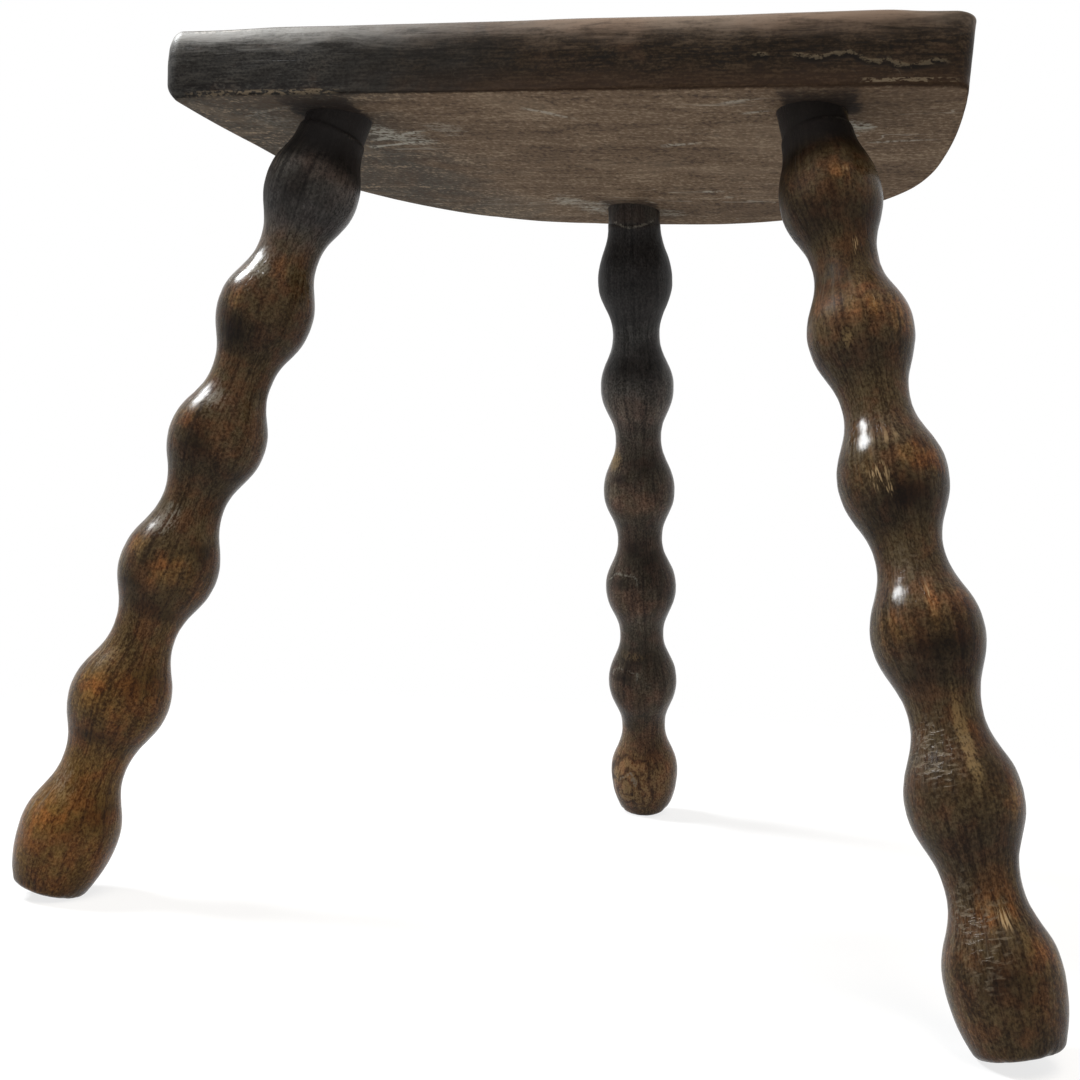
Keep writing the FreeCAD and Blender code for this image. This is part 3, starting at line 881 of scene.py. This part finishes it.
def seat_mesh(shape):
    """The plank as rings of vertices: out over the top, down the worn edge and in again below."""
    inner_rows, top_rows, wall_rows, low_rows = 22, 14, 38, 9
    plan, normals = seat_outline(shape)
    count = len(plan)
    right, back = plan.T
    uneven = ripple(plan, 0.045, 3)
    small = ripple(plan, 0.009, 4)
    on_front = soft_step(back, 0.004, 0.001)
    left_wear = soft_step(-right, 0.105, 0.134) * soft_step(back, 0.095, 0.050)
    right_keen = soft_step(right, 0.118, 0.134) * soft_step(back, 0.060, 0.020)
    blunt = uneven * (1 - right_keen)
    drop = mix(shape.top_edge, shape.front_drop - 0.016 * np.clip(right, -0.12, 0.12), on_front)
    drop = mix(mix(drop, shape.worn_drop, left_wear), shape.keen_edge, right_keen) + 0.0005 * blunt
    reach = mix(shape.top_edge, shape.worn_reach, left_wear)
    reach = mix(reach, shape.keen_edge, right_keen) + 0.0004 * blunt
    bruise = np.max([between(right, start, end, 0.006, 0.008) for start, end in BRUISES], axis=0)
    bruise = mix(soft_step(small + uneven * 0.6, 0.75, 1.3) * 0.8, bruise, on_front)
    low = mix(shape.bottom_edge, shape.bruised_edge, bruise * (0.8 + 0.25 * small))
    low = np.clip(mix(low, shape.worn_bottom, left_wear), 0.0005, 0.006)

    rings = []
    centre = np.array([0.0, 0.47 * DEPTH])
    edge_in = plan - normals * reach[:, None]
    low_in = plan - normals * low[:, None]

    def add(flat, height, wrap=0.0, lid=0.0):
        rings.append(np.column_stack([flat] + [np.broadcast_to(value, count) for value in (height, wrap, lid)]))

    for row in range(1, inner_rows):
        share = row / inner_rows
        add(mix(centre, edge_in, share), THICKNESS - shape.dish * (1 - share ** 2.5), lid=1.0)
    for row in range(top_rows):
        turn = math.pi / 2 * row / top_rows
        flat = edge_in + normals * (reach * math.sin(turn))[:, None]
        add(flat, THICKNESS - drop * (1 - math.cos(turn)), 1.0, soft_step(row, 5, 2))
    for row in range(wall_rows):
        add(plan, mix(THICKNESS - drop, low, row / wall_rows), 1.0)
    for row in range(low_rows + 1):
        turn = math.pi / 2 * row / low_rows
        flat = low_in + normals * (low * math.cos(turn))[:, None]
        add(flat, low * (1 - math.sin(turn)), 1.0 - (1.0 - 0.38 * on_front) * row / low_rows)
    for row in range(1, inner_rows):
        add(mix(centre, low_in, 1 - row / inner_rows), 0.0)

    def each_ring(value):
        return np.tile(value, len(rings))

    table = np.concatenate(rings)
    points = table[:, :3]
    x, y, height, wrap, lid = table.T
    up_share = np.clip(height / THICKNESS, 0, 1)
    bruised = each_ring(bruise) * wrap
    # Pale top left edge: partly scuffs, partly a painted glare
    scuff = between(x, -0.134, -0.088, 0.008, 0.024) * soft_step(height, 0.0228, 0.0240)

    # Shake in the front edge, with a gap in it
    path = np.array(SHAKE) * MM
    is_front = soft_step(y, 0.003, 0.001) * between(x, path[0, 0], path[-1, 0], 0.004, 0.003)
    is_front = is_front * (1 - between(x, 0.0745, 0.0845, 0.002, 0.002))
    offset = height - np.interp(x, path[:, 0], path[:, 1])
    width = 0.00080 * (1 + 0.35 * ripple(points[:, :1], 0.012, 8))
    line = np.exp(-(offset / width) ** 2) * is_front
    lip = np.exp(-((offset + 0.0011) / 0.0006) ** 2) * is_front
    values = {
        "wrap": wrap, "lid": lid, "bruise": bruised, "black": bruised * soft_step(x, 0.0, -0.03),
        "shake": is_front, "shake_offset": np.clip(offset, -0.01, 0.01),
        "scuff": scuff * soft_step(y, 0.006, 0.002) * 0.62,
    }

    # Unevenness and wear of the faces
    wavy = 0.00016 * ripple(points, 0.035, 5) + 0.00007 * ripple(points, 0.006, 6)
    inward = np.maximum(0.00022 - wavy * 0.9 - 0.00020 * line + 0.00035 * lip, 0.0)
    inward = inward * soft_step(height, 0.0003, 0.0015) * soft_step(height, THICKNESS - 0.0002, THICKNESS - 0.003)
    bulge = shape.belly * each_ring(left_wear) * np.sin(math.pi * up_share)
    lean = shape.lean_in * each_ring(soft_step(right, 0.118, 0.132)) * (1 - up_share)
    outward = np.column_stack([np.tile(normals, (len(rings), 1)), np.zeros(len(points))])
    points = points - outward * (inward - bulge + lean)[:, None]
    fall = shape.left_fall * soft_step(-points[:, 0], 0.095, 0.132)
    fall += shape.right_fall * soft_step(points[:, 0], 0.110, 0.137)
    points[:, 2] -= fall * soft_step(points[:, 1], 0.070, 0.0) * soft_step(height, 0.45 * THICKNESS, THICKNESS)
    points[:, 2] += np.where(height < 0.0002, 0.00008 + 0.00008 * ripple(points[:, :2], 0.03, 7), 0.0)
    is_top = height > THICKNESS - 0.0021
    points[:, 2] -= np.where(is_top, 0.00012 + 0.0001 * ripple(points[:, :2], 0.04, 9), 0.0)

    poles = np.array([[*centre, THICKNESS - shape.dish - 0.0001], [*centre, 0.0001]])
    vertices = np.concatenate([points, poles]) + np.array([MIDDLE_X, FRONT_Y, UNDER_Z])
    steps = [(step, (step + 1) % count) for step in range(count)]
    top_pole = len(points)
    last = top_pole - count
    faces = []
    for start in range(0, last, count):
        faces += [(start + step, start + count + step, start + count + after, start + after) for step, after in steps]
    for step, after in steps:
        faces += [(top_pole, step, after), (last + step, top_pole + 1, last + after)]
    mesh = bpy.data.meshes.new("seat_plank")
    mesh.from_pydata(vertices.tolist(), [], faces)
    for name, value in values.items():
        paint(mesh, name, np.append(value, [1.0 if name == "lid" else 0.0, 0.0]))
    return mesh


def tool_object(name, work, leg):
    """A cutting shape, set on a leg's axis."""
    bmesh.ops.transform(work, verts=work.verts, matrix=leg.placement())
    mesh = bpy.data.meshes.new(name)
    work.to_mesh(mesh)
    work.free()
    return new_object(name, mesh)


def mortise_tool(leg, radius):
    """A closed round bar that passes right through the seat."""
    low, high = -0.02, 0.05
    work = bmesh.new()
    bmesh.ops.create_cone(work, cap_ends=True, segments=72, radius1=radius, radius2=radius, depth=high - low)
    bmesh.ops.translate(work, verts=work.verts, vec=(0, 0, (high + low) / 2))
    return tool_object("mortise_" + leg.name, work, leg)


def kerf_tool(leg, shape):
    """Tapered prism that leaves the kerf for a wedge in the tenon."""
    end = THICKNESS / math.cos(leg.lean)
    tip = end - shape.kerf_depth
    head_half = shape.kerf_head / 2
    tip_half = shape.kerf_tip / 2
    over, aside = 0.010, 0.002
    side = shape.tenon_diameter / 2 + aside
    grow = (head_half - tip_half) / shape.kerf_depth * over
    half = ((head_half + grow, end + over), (tip_half, tip), (tip_half, tip - shape.kerf_run))
    corners = [(-across, up) for across, up in half] + list(half[::-1])
    work = bmesh.new()
    near, far = ([work.verts.new((across, y, up)) for across, up in corners] for y in (-side, side))
    work.faces.new(near)
    work.faces.new(far[::-1])
    for index in range(len(corners)):
        after = (index + 1) % len(corners)
        work.faces.new((near[index], far[index], far[after], near[after]))
    bmesh.ops.recalc_face_normals(work, faces=work.faces)
    return tool_object("kerf_" + leg.name, work, leg)


def cut(made, tools):
    """Takes the tools' shapes out of a piece, removes the tools and closes the mesh."""
    for tool in tools:
        modifier = made.modifiers.new(tool.name, "BOOLEAN")
        modifier.object = tool
        modifier.operation = "DIFFERENCE"
        modifier.solver = "EXACT"
    mesh = baked(made)
    for tool in tools:
        old = tool.data
        bpy.data.objects.remove(tool)
        bpy.data.meshes.remove(old)
    close_mesh(mesh, CUT_MERGE)


# Legs


LEG_COUNTS = ("Segments", "Rows", "Bulbs")
LEG_MEASURES = (
    "Head", "Shoulder", "End", "First Bulb", "Foot Length", "Tenon Radius", "Shoulder Radius", "Bulb Radius",
    "Neck Radius", "Foot Radius", "Foot Edge", "Chip Angle", "Chip Depth", "Seed",
)


def turning_tree():
    """Geometry nodes that turn a leg: tenon, square shoulder, bobbins, tapered foot and its wear."""
    sockets = [(name, "Int", None) for name in LEG_COUNTS] + [(name, "Float", None) for name in LEG_MEASURES]
    sockets.append(("Varnish", "Material", None))
    tree, graph, given = new_tree("bobbin_turning", "GeometryNodeTree", sockets, (("Geometry", "Geometry"),))
    cap_rows, tenon_rows, ledge_rows = 0.04, 0.07, 0.015
    ease_length, ease_depth = 0.0012, 0.0003
    sway, wobble, dent, oval = 0.0011, 0.0008, 0.00035, 0.00012
    scuff_depth, foot_thinning = 0.0009, 0.00045
    usual_radius = 0.014
    grid = graph.node("GeometryNodeMeshGrid", Size_X=1.0, Size_Y=1.0, Vertices_X=given["Segments"] + 1.0,
                      Vertices_Y=given["Rows"])
    x, y, _ = graph.parts(graph.node("GeometryNodeInputPosition").outputs[0])
    bearing = (x + 0.5) * (2 * math.pi)
    row = (0.5 - y) * (1 + 2 * cap_rows) - cap_rows

    def cosine(turn):
        return graph.math("COSINE", turn)

    def swell(turn):
        """Cosine with a little third harmonic, which is a chain of tangent arcs, from 0 to 1."""
        return (cosine(turn) * 1.038 - cosine(turn * 3.0) * 0.038) * 0.5 + 0.5

    # Height and radius down the leg
    body_start = tenon_rows + ledge_rows
    round_end = 1.0 + 0.4 * cap_rows
    body_part = row.share(body_start, 1.0)
    quarter = row.share(1.0, round_end) * (math.pi / 2)
    shoulder, edge, end = given["Shoulder"], given["Foot Edge"], given["End"]
    bulb, neck, collar = given["Bulb Radius"], given["Neck Radius"], given["Shoulder Radius"]
    z = given["Head"] + (shoulder - given["Head"]) * row.share(0.0, tenon_rows) + (end + edge - shoulder) * body_part
    z = z - edge * graph.math("SINE", quarter)
    first = shoulder - given["First Bulb"]
    last = end + given["Foot Length"]
    pitch = (first - last) / (given["Bulbs"] - 1.0)
    from_shoulder = collar + (bulb - collar) * swell((z - first) * math.pi / given["First Bulb"])
    bobbin = neck + (bulb - neck) * swell((first - z) * (2 * math.pi) / pitch)
    taper = bulb - given["Foot Radius"]
    bow = (given["Foot Length"] * given["Foot Length"] + taper * taper) / (taper * 2.0)
    below = last - z
    foot = bulb - bow + graph.math("SQRT", (bow * bow - below * below).most(0.0))
    radius = graph.choose(graph.math("GREATER_THAN", z, first), from_shoulder, bobbin)
    radius = graph.choose(graph.math("LESS_THAN", z, last), foot, radius)
    eased = (1.0 - (shoulder - z) / ease_length).most(0.0)
    radius = radius - eased * eased * ease_depth
    on_tenon = given["Tenon Radius"] * row.share(-cap_rows, 0.0)
    on_tenon = on_tenon + (collar - ease_depth - on_tenon) * row.share(tenon_rows, body_start)
    is_body = graph.math("GREATER_THAN", body_part, 0.0)
    radius = graph.choose(is_body, radius, on_tenon)

    # Hand turning and years of use
    ahead, aside = cosine(bearing), graph.math("SINE", bearing)
    seeded = z + given["Seed"]
    spot = graph.point(ahead * usual_radius, aside * usual_radius, seeded)
    grown = graph.noise(graph.point(0.0, 0.0, seeded), 28.0, 1.0) * sway + graph.noise(spot, 42.0, 2.0) * wobble
    grown = grown + graph.noise(spot, 210.0, 3.0, 0.6) * dent + cosine(bearing * 2.0 + given["Seed"]) * oval
    radius = radius + grown * is_body
    from_end = z - end
    scuffed = graph.noise(spot, 130.0, 3.0, 0.6).step(-0.05, 0.25) * from_end.step(0.0045, 0.0)
    turned = graph.math("WRAP", bearing - given["Chip Angle"], math.pi, -math.pi)
    chip = abs(turned).step(0.42, 0.05) * from_end.step(0.0055, 0.0)
    radius = radius - scuffed * scuff_depth - chip * given["Chip Depth"]
    radius = radius - from_end.step(0.040, 0.012) * foot_thinning
    radius = radius - edge * (1.0 - cosine(quarter))
    radius = (radius * (1.0 - row.share(round_end, 1.0 + cap_rows))).most(0.0)

    place = graph.point(radius * ahead, radius * aside, z)
    shaped = graph.node("GeometryNodeSetPosition", Geometry=grid.outputs["Mesh"], Position=place)
    joined = graph.node("GeometryNodeMergeByDistance", Geometry=shaped.outputs[0], Distance=0.000004)
    real = graph.node("GeometryNodeRealizeInstances", Geometry=joined.outputs[0])
    varnished = graph.node("GeometryNodeSetMaterial", Geometry=real.outputs[0], Material=given["Varnish"])
    close_tree(graph, Geometry=varnished.outputs[0])
    return tree


def leg_inputs(leg, shape, varnish):
    """Values for the turning of one leg; heights are along the lathe, with the underside at zero."""
    trim = 0.002
    tenon = shape.tenon_diameter / 2
    collar = tenon + leg.ledge
    slope = math.tan(leg.lean)
    low_edge = shape.foot_diameter / 2 * math.sin(leg.lean)
    softened = shape.foot_edge * (math.cos(leg.lean) + math.sin(leg.lean) - 1)
    end_height = low_edge - softened - shape.foot_wear
    return {
        "Segments": 120, "Rows": 400, "Bulbs": shape.bulbs,
        "Head": THICKNESS / math.cos(leg.lean) + tenon * slope + trim,
        "Shoulder": -(collar * slope + leg.gap), "End": -(UNDER_Z - end_height) / math.cos(leg.lean),
        "First Bulb": leg.first_bulb, "Foot Length": shape.foot_length,
        "Tenon Radius": tenon, "Shoulder Radius": collar, "Bulb Radius": shape.bulb_diameter / 2,
        "Neck Radius": shape.neck_diameter / 2, "Foot Radius": shape.foot_diameter / 2,
        "Foot Edge": shape.foot_edge, "Chip Angle": math.radians(leg.chip[0]), "Chip Depth": leg.chip[1],
        "Seed": leg.seed, "Varnish": varnish,
    }


def turned_leg(leg, shape, tree, varnish):
    """One leg as a plain mesh, painted on the lathe, then set in its socket and trimmed."""
    values = leg_inputs(leg, shape, varnish)
    made = new_object("leg_" + leg.name + "_turning", bpy.data.meshes.new("leg_" + leg.name))
    modifier = made.modifiers.new("bobbin_turning", "NODES")
    modifier.node_group = tree
    for item in tree.interface.items_tree:
        if item.in_out == "INPUT":
            modifier[item.identifier] = values[item.name]
    mesh = baked(made)
    points = read_vectors(mesh.vertices, "co")
    paint_marks(mesh, points, leg, values)

    stool = np.array(leg.placement())
    points = points @ stool[:3, :3].T + stool[:3, 3]
    axis = np.array(leg.axis())
    over = np.maximum(points[:, 2] - (TOP_Z - shape.tenon_sink), 0.0) / axis[2]
    under = np.minimum(points[:, 2], 0.0) / axis[2]
    set_coordinates(mesh, points - (over + under)[:, None] * axis)
    close_mesh(mesh, RAW_MERGE)
    return made


def paint_marks(mesh, points, leg, values):
    """Wear, grime, crazing, painted shade and painted highlights by place on the turning, and the lathe's own
    coordinates for the grain.
    """
    down = -points[:, 2]
    around = np.arctan2(points[:, 1], points[:, 0])
    radius = np.hypot(points[:, 0], points[:, 1])
    layers = {kind: np.zeros(len(points)) for kind in MARK_KINDS}
    rag_down, rag_side = (0.0026 * ripple(points, 0.016, seed) + 0.0012 * ripple(points, 0.006, seed + 1)
                          for seed in (21, 23))
    for kind, marks in MARKS[leg.name].items():
        kind, side, line = RINGS.get(kind, (kind, 0.0, 0.0))
        for at, degrees, long, wide, strength in np.array(marks) * (MM, 1.0, MM, MM, 1.0):
            turn = np.angle(np.exp(1j * (around - math.radians(degrees))))
            rag = min(1.0, long / 0.008, wide / 0.008)
            spread = ((down - at + rag_down * rag) / long) ** 2 + ((turn * radius + rag_side * rag) / wide) ** 2
            mark = np.exp(-spread)
            if line:
                mark = np.exp(-((np.sqrt(spread) - 1) * min(long, wide) / line) ** 2)
                if side:
                    mark *= soft_step((down - at) * side, -0.3 * long, 0.3 * long)
                else:
                    layers["bare"] *= 1 - 0.75 * mark
            layers[kind] = np.maximum(layers[kind], strength * mark)
    start, full, most = leg.honey
    layers["honey"] = most * soft_step(down, start, full)
    grime = soft_step(down + rag_down, leg.grime + 0.014, leg.grime - 0.010)
    soot = np.maximum(layers["soot"], grime) + leg.collar * soft_step(down, 0.024, 0.009)
    full, gone, most = leg.ash
    ash = most * soft_step(down + rag_down, gone, full)
    is_rear = leg.name == "rear"
    if is_rear:
        soot *= 0.75 + 0.25 * soft_step(down, 0.0050, 0.0085)
        # The rear leg is greyer, most on the side facing forward: partly its own grey, partly painted shade
        ash += 0.17 + 0.13 * soft_step(down, 0.270, 0.200)
        ash *= 0.5 + 0.5 * soft_step(down, 0.0030, 0.0085)
        ash *= 0.35 + 0.65 * soft_step(np.cos(around + math.radians(85)), -0.6, 0.3)
    below_head = soft_step(down, -0.012, -0.004)
    normals = read_vectors(mesh.vertex_normals, "vector")
    on_body = soft_step(down, -values["Shoulder"] + 0.001, -values["Shoulder"] + 0.004)
    # The bulbs' faces turned towards the lamps get pale streaks, a painted highlight
    to_lamps = normals @ np.array(leg.placement())[:3, :3].T @ np.array([-0.55, -0.28, 0.79])
    layers.update({
        "soot": soot * below_head, "ash": ash * below_head,
        "crown": soft_step(to_lamps, 0.50, 0.95) * on_body * leg.crown,
        # Downward faces of the front legs' bulbs, darkened as painted shade
        "hollow": soft_step(-normals[:, 2], 0.10, 0.45) * on_body * (not is_rear),
    })
    is_end = (points[:, 2] > values["Head"] - 1e-5) | (points[:, 2] < values["End"] + 1e-5)
    usual_radius = 0.0145
    even = np.where(is_end, radius, usual_radius)
    offset = np.array([0.3 * leg.seed, 0.0, 0.5 * leg.seed])
    layers["turning"] = points + offset
    layers["skin"] = np.column_stack((np.cos(around) * even, np.sin(around) * even, points[:, 2])) + offset
    for name, value in layers.items():
        paint(mesh, name, value)


# Stage


def seen_rays(graph):
    """1 for rays that look straight at the stage or mirror it."""
    rays = graph.node("ShaderNodeLightPath").outputs
    either = graph.math("MAXIMUM", rays["Is Camera Ray"], rays["Is Glossy Ray"])
    return either.most(rays["Is Transmission Ray"])


def pale_floor():
    """Plain white floor that keeps a faint shadow near the stool."""
    size = 6.0
    mesh = bpy.data.meshes.new("floor")
    mesh.from_pydata([(-size, -size, 0), (size, -size, 0), (size, size, 0), (-size, size, 0)], [], [(0, 1, 2, 3)])
    material = bpy.data.materials.new("pale_floor")
    graph = blank(material)
    plain = graph.node("ShaderNodeBsdfDiffuse", Color=(0.72, 0.72, 0.72))
    glow = graph.node("ShaderNodeEmission", Color=WHITE, Strength=1.0)
    shaded = graph.node("ShaderNodeBsdfDiffuse", Color=(0.95, 0.95, 0.95))
    away = graph.vector("DISTANCE", graph.node("ShaderNodeTexCoord").outputs["Object"], (0.0, 0.0, 0.0))
    bright = graph.mix_shaders(away.step(0.55, 0.25) * 0.22, glow, shaded)
    either = graph.mix_shaders(seen_rays(graph), plain, bright)
    graph.node("ShaderNodeOutputMaterial", Surface=either.outputs[0])
    mesh.materials.append(material)
    return new_object("floor", mesh)


def pale_world(ambient):
    """White to look at, softer as a light."""
    world = bpy.data.worlds.new("pale_world")
    graph = blank(world)
    strength = seen_rays(graph) * (1.0 - ambient) + ambient
    sky = graph.node("ShaderNodeBackground", Color=WHITE, Strength=strength)
    graph.node("ShaderNodeOutputWorld", Surface=sky.outputs[0])
    return world


def set_lamps(stage):
    """Square lamps that shine on the stool."""
    for name, (direction, distance, size, shade, mirrored) in LAMPS.items():
        data = bpy.data.lights.new(name, "AREA")
        data.shape = "SQUARE"
        data.size = size
        data.energy = getattr(stage, name + "_power")
        data.color = shade
        made = new_object(name, data)
        direction = Vector(direction).normalized()
        made.location = LIT_POINT + direction * distance
        made.rotation_euler = direction.to_track_quat("Z", "Y").to_euler()
        made.visible_glossy = mirrored


def set_camera(scene, stage):
    """The photograph's view: low, a little to the right, rolled and shifted."""
    data = bpy.data.cameras.new("camera")
    data.lens = stage.lens
    data.sensor_width = 36.0
    data.shift_x = stage.shift_x
    data.shift_y = stage.shift_y
    data.clip_start = 0.01
    level = math.cos(stage.pitch)
    forward = Vector((math.sin(stage.heading) * level, math.cos(stage.heading) * level, math.sin(stage.pitch)))
    flat_right = Vector((math.cos(stage.heading), -math.sin(stage.heading), 0.0))
    flat_up = flat_right.cross(forward)
    right = flat_right * math.cos(stage.roll) + flat_up * math.sin(stage.roll)
    up = flat_up * math.cos(stage.roll) - flat_right * math.sin(stage.roll)
    turn = Matrix((right, up, -forward)).transposed().to_4x4()
    scene.camera = new_object("camera", data)
    scene.camera.matrix_world = Matrix.Translation(Vector(stage.camera_place)) @ turn


# Operators


class STOOL_OT_seat(Operator):
    """Build the worn plank with its three mortises"""
    bl_idname = "stool.seat"
    bl_label = "Seat"

    def execute(self, context):
        shape = context.scene.stool_seat
        legs = context.scene.stool_legs
        mesh = seat_mesh(shape)
        mesh.materials.append(seat_material(shape))
        made = new_object("seat_plank", mesh)
        bore = legs.tenon_diameter / 2 + legs.clearance
        cut(made, [mortise_tool(leg, bore) for leg in LEGS])
        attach(made, "root")
        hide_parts("seat")
        return {"FINISHED"}


class STOOL_OT_legs(Operator):
    """Turn the three legs and set them in their sockets"""
    bl_idname = "stool.legs"
    bl_label = "Legs"

    def execute(self, context):
        shape = context.scene.stool_legs
        varnish = leg_material(shape)
        tree = turning_tree()
        for leg in LEGS:
            made = turned_leg(leg, shape, tree, varnish)
            cut(made, [kerf_tool(leg, shape)])
            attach(made, "root")
            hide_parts("leg_" + leg.name)
        return {"FINISHED"}


class STOOL_OT_wedges(Operator):
    """Soften the driven wedges in the tenons"""
    bl_idname = "stool.wedges"
    bl_label = "Wedges"

    def execute(self, context):
        end_grain = wedge_material()
        soft_edge, below_top = 0.0002, 0.000002
        for leg in LEGS:
            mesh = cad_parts["wedge_" + leg.name].data.copy()
            mesh.name = "wedge_" + leg.name + "_driven"
            mesh.materials.clear()
            mesh.materials.append(end_grain)
            made = new_object(mesh.name, mesh)
            close_mesh(mesh, RAW_MERGE)
            bevel = made.modifiers.new("soft_edges", "BEVEL")
            bevel.width = soft_edge
            bevel.segments = 2
            bevel.limit_method = "ANGLE"
            close_mesh(baked(made), CUT_MERGE)
            points = read_vectors(made.data.vertices, "co")
            points[:, 2] = np.minimum(points[:, 2], TOP_Z - below_top)
            set_coordinates(made.data, points)
            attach(made, "root")
            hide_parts("wedge_" + leg.name)
        return {"FINISHED"}


class STOOL_OT_stage(Operator):
    """Lay the floor, light it softly and set the camera"""
    bl_idname = "stool.stage"
    bl_label = "Stage"

    def execute(self, context):
        scene = context.scene
        stage = scene.stool_stage
        scene.view_settings.view_transform = "Standard"
        pale_floor()
        scene.world = pale_world(stage.ambient)
        set_lamps(stage)
        set_camera(scene, stage)
        return {"FINISHED"}


class STOOL_PT_panel(Panel):
    """Lists the stool's operators and settings"""
    bl_idname = "STOOL_PT_panel"
    bl_label = "Milking Stool"
    bl_space_type = "VIEW_3D"
    bl_region_type = "UI"
    bl_category = "Stool"

    def draw(self, context):
        for operator in OPERATORS:
            self.layout.operator(operator.bl_idname)
        for group in (context.scene.stool_seat, context.scene.stool_legs, context.scene.stool_stage):
            box = self.layout.box()
            for name in group.__annotations__:
                box.prop(group, name)


SETTINGS = {"stool_seat": SeatSettings, "stool_legs": LegSettings, "stool_stage": StageSettings}
OPERATORS = (STOOL_OT_seat, STOOL_OT_legs, STOOL_OT_wedges, STOOL_OT_stage)


def register():
    for kind in (*SETTINGS.values(), *OPERATORS, STOOL_PT_panel):
        bpy.utils.register_class(kind)
    for name, kind in SETTINGS.items():
        setattr(bpy.types.Scene, name, PointerProperty(type=kind))


def unregister():
    for name in SETTINGS:
        delattr(bpy.types.Scene, name)
    for kind in (STOOL_PT_panel, *reversed(OPERATORS), *reversed(SETTINGS.values())):
        bpy.utils.unregister_class(kind)


def main():
    register()
    bpy.ops.stool.seat()
    bpy.ops.stool.legs()
    bpy.ops.stool.wedges()
    bpy.ops.stool.stage()


if __name__ == "__main__":
    main()
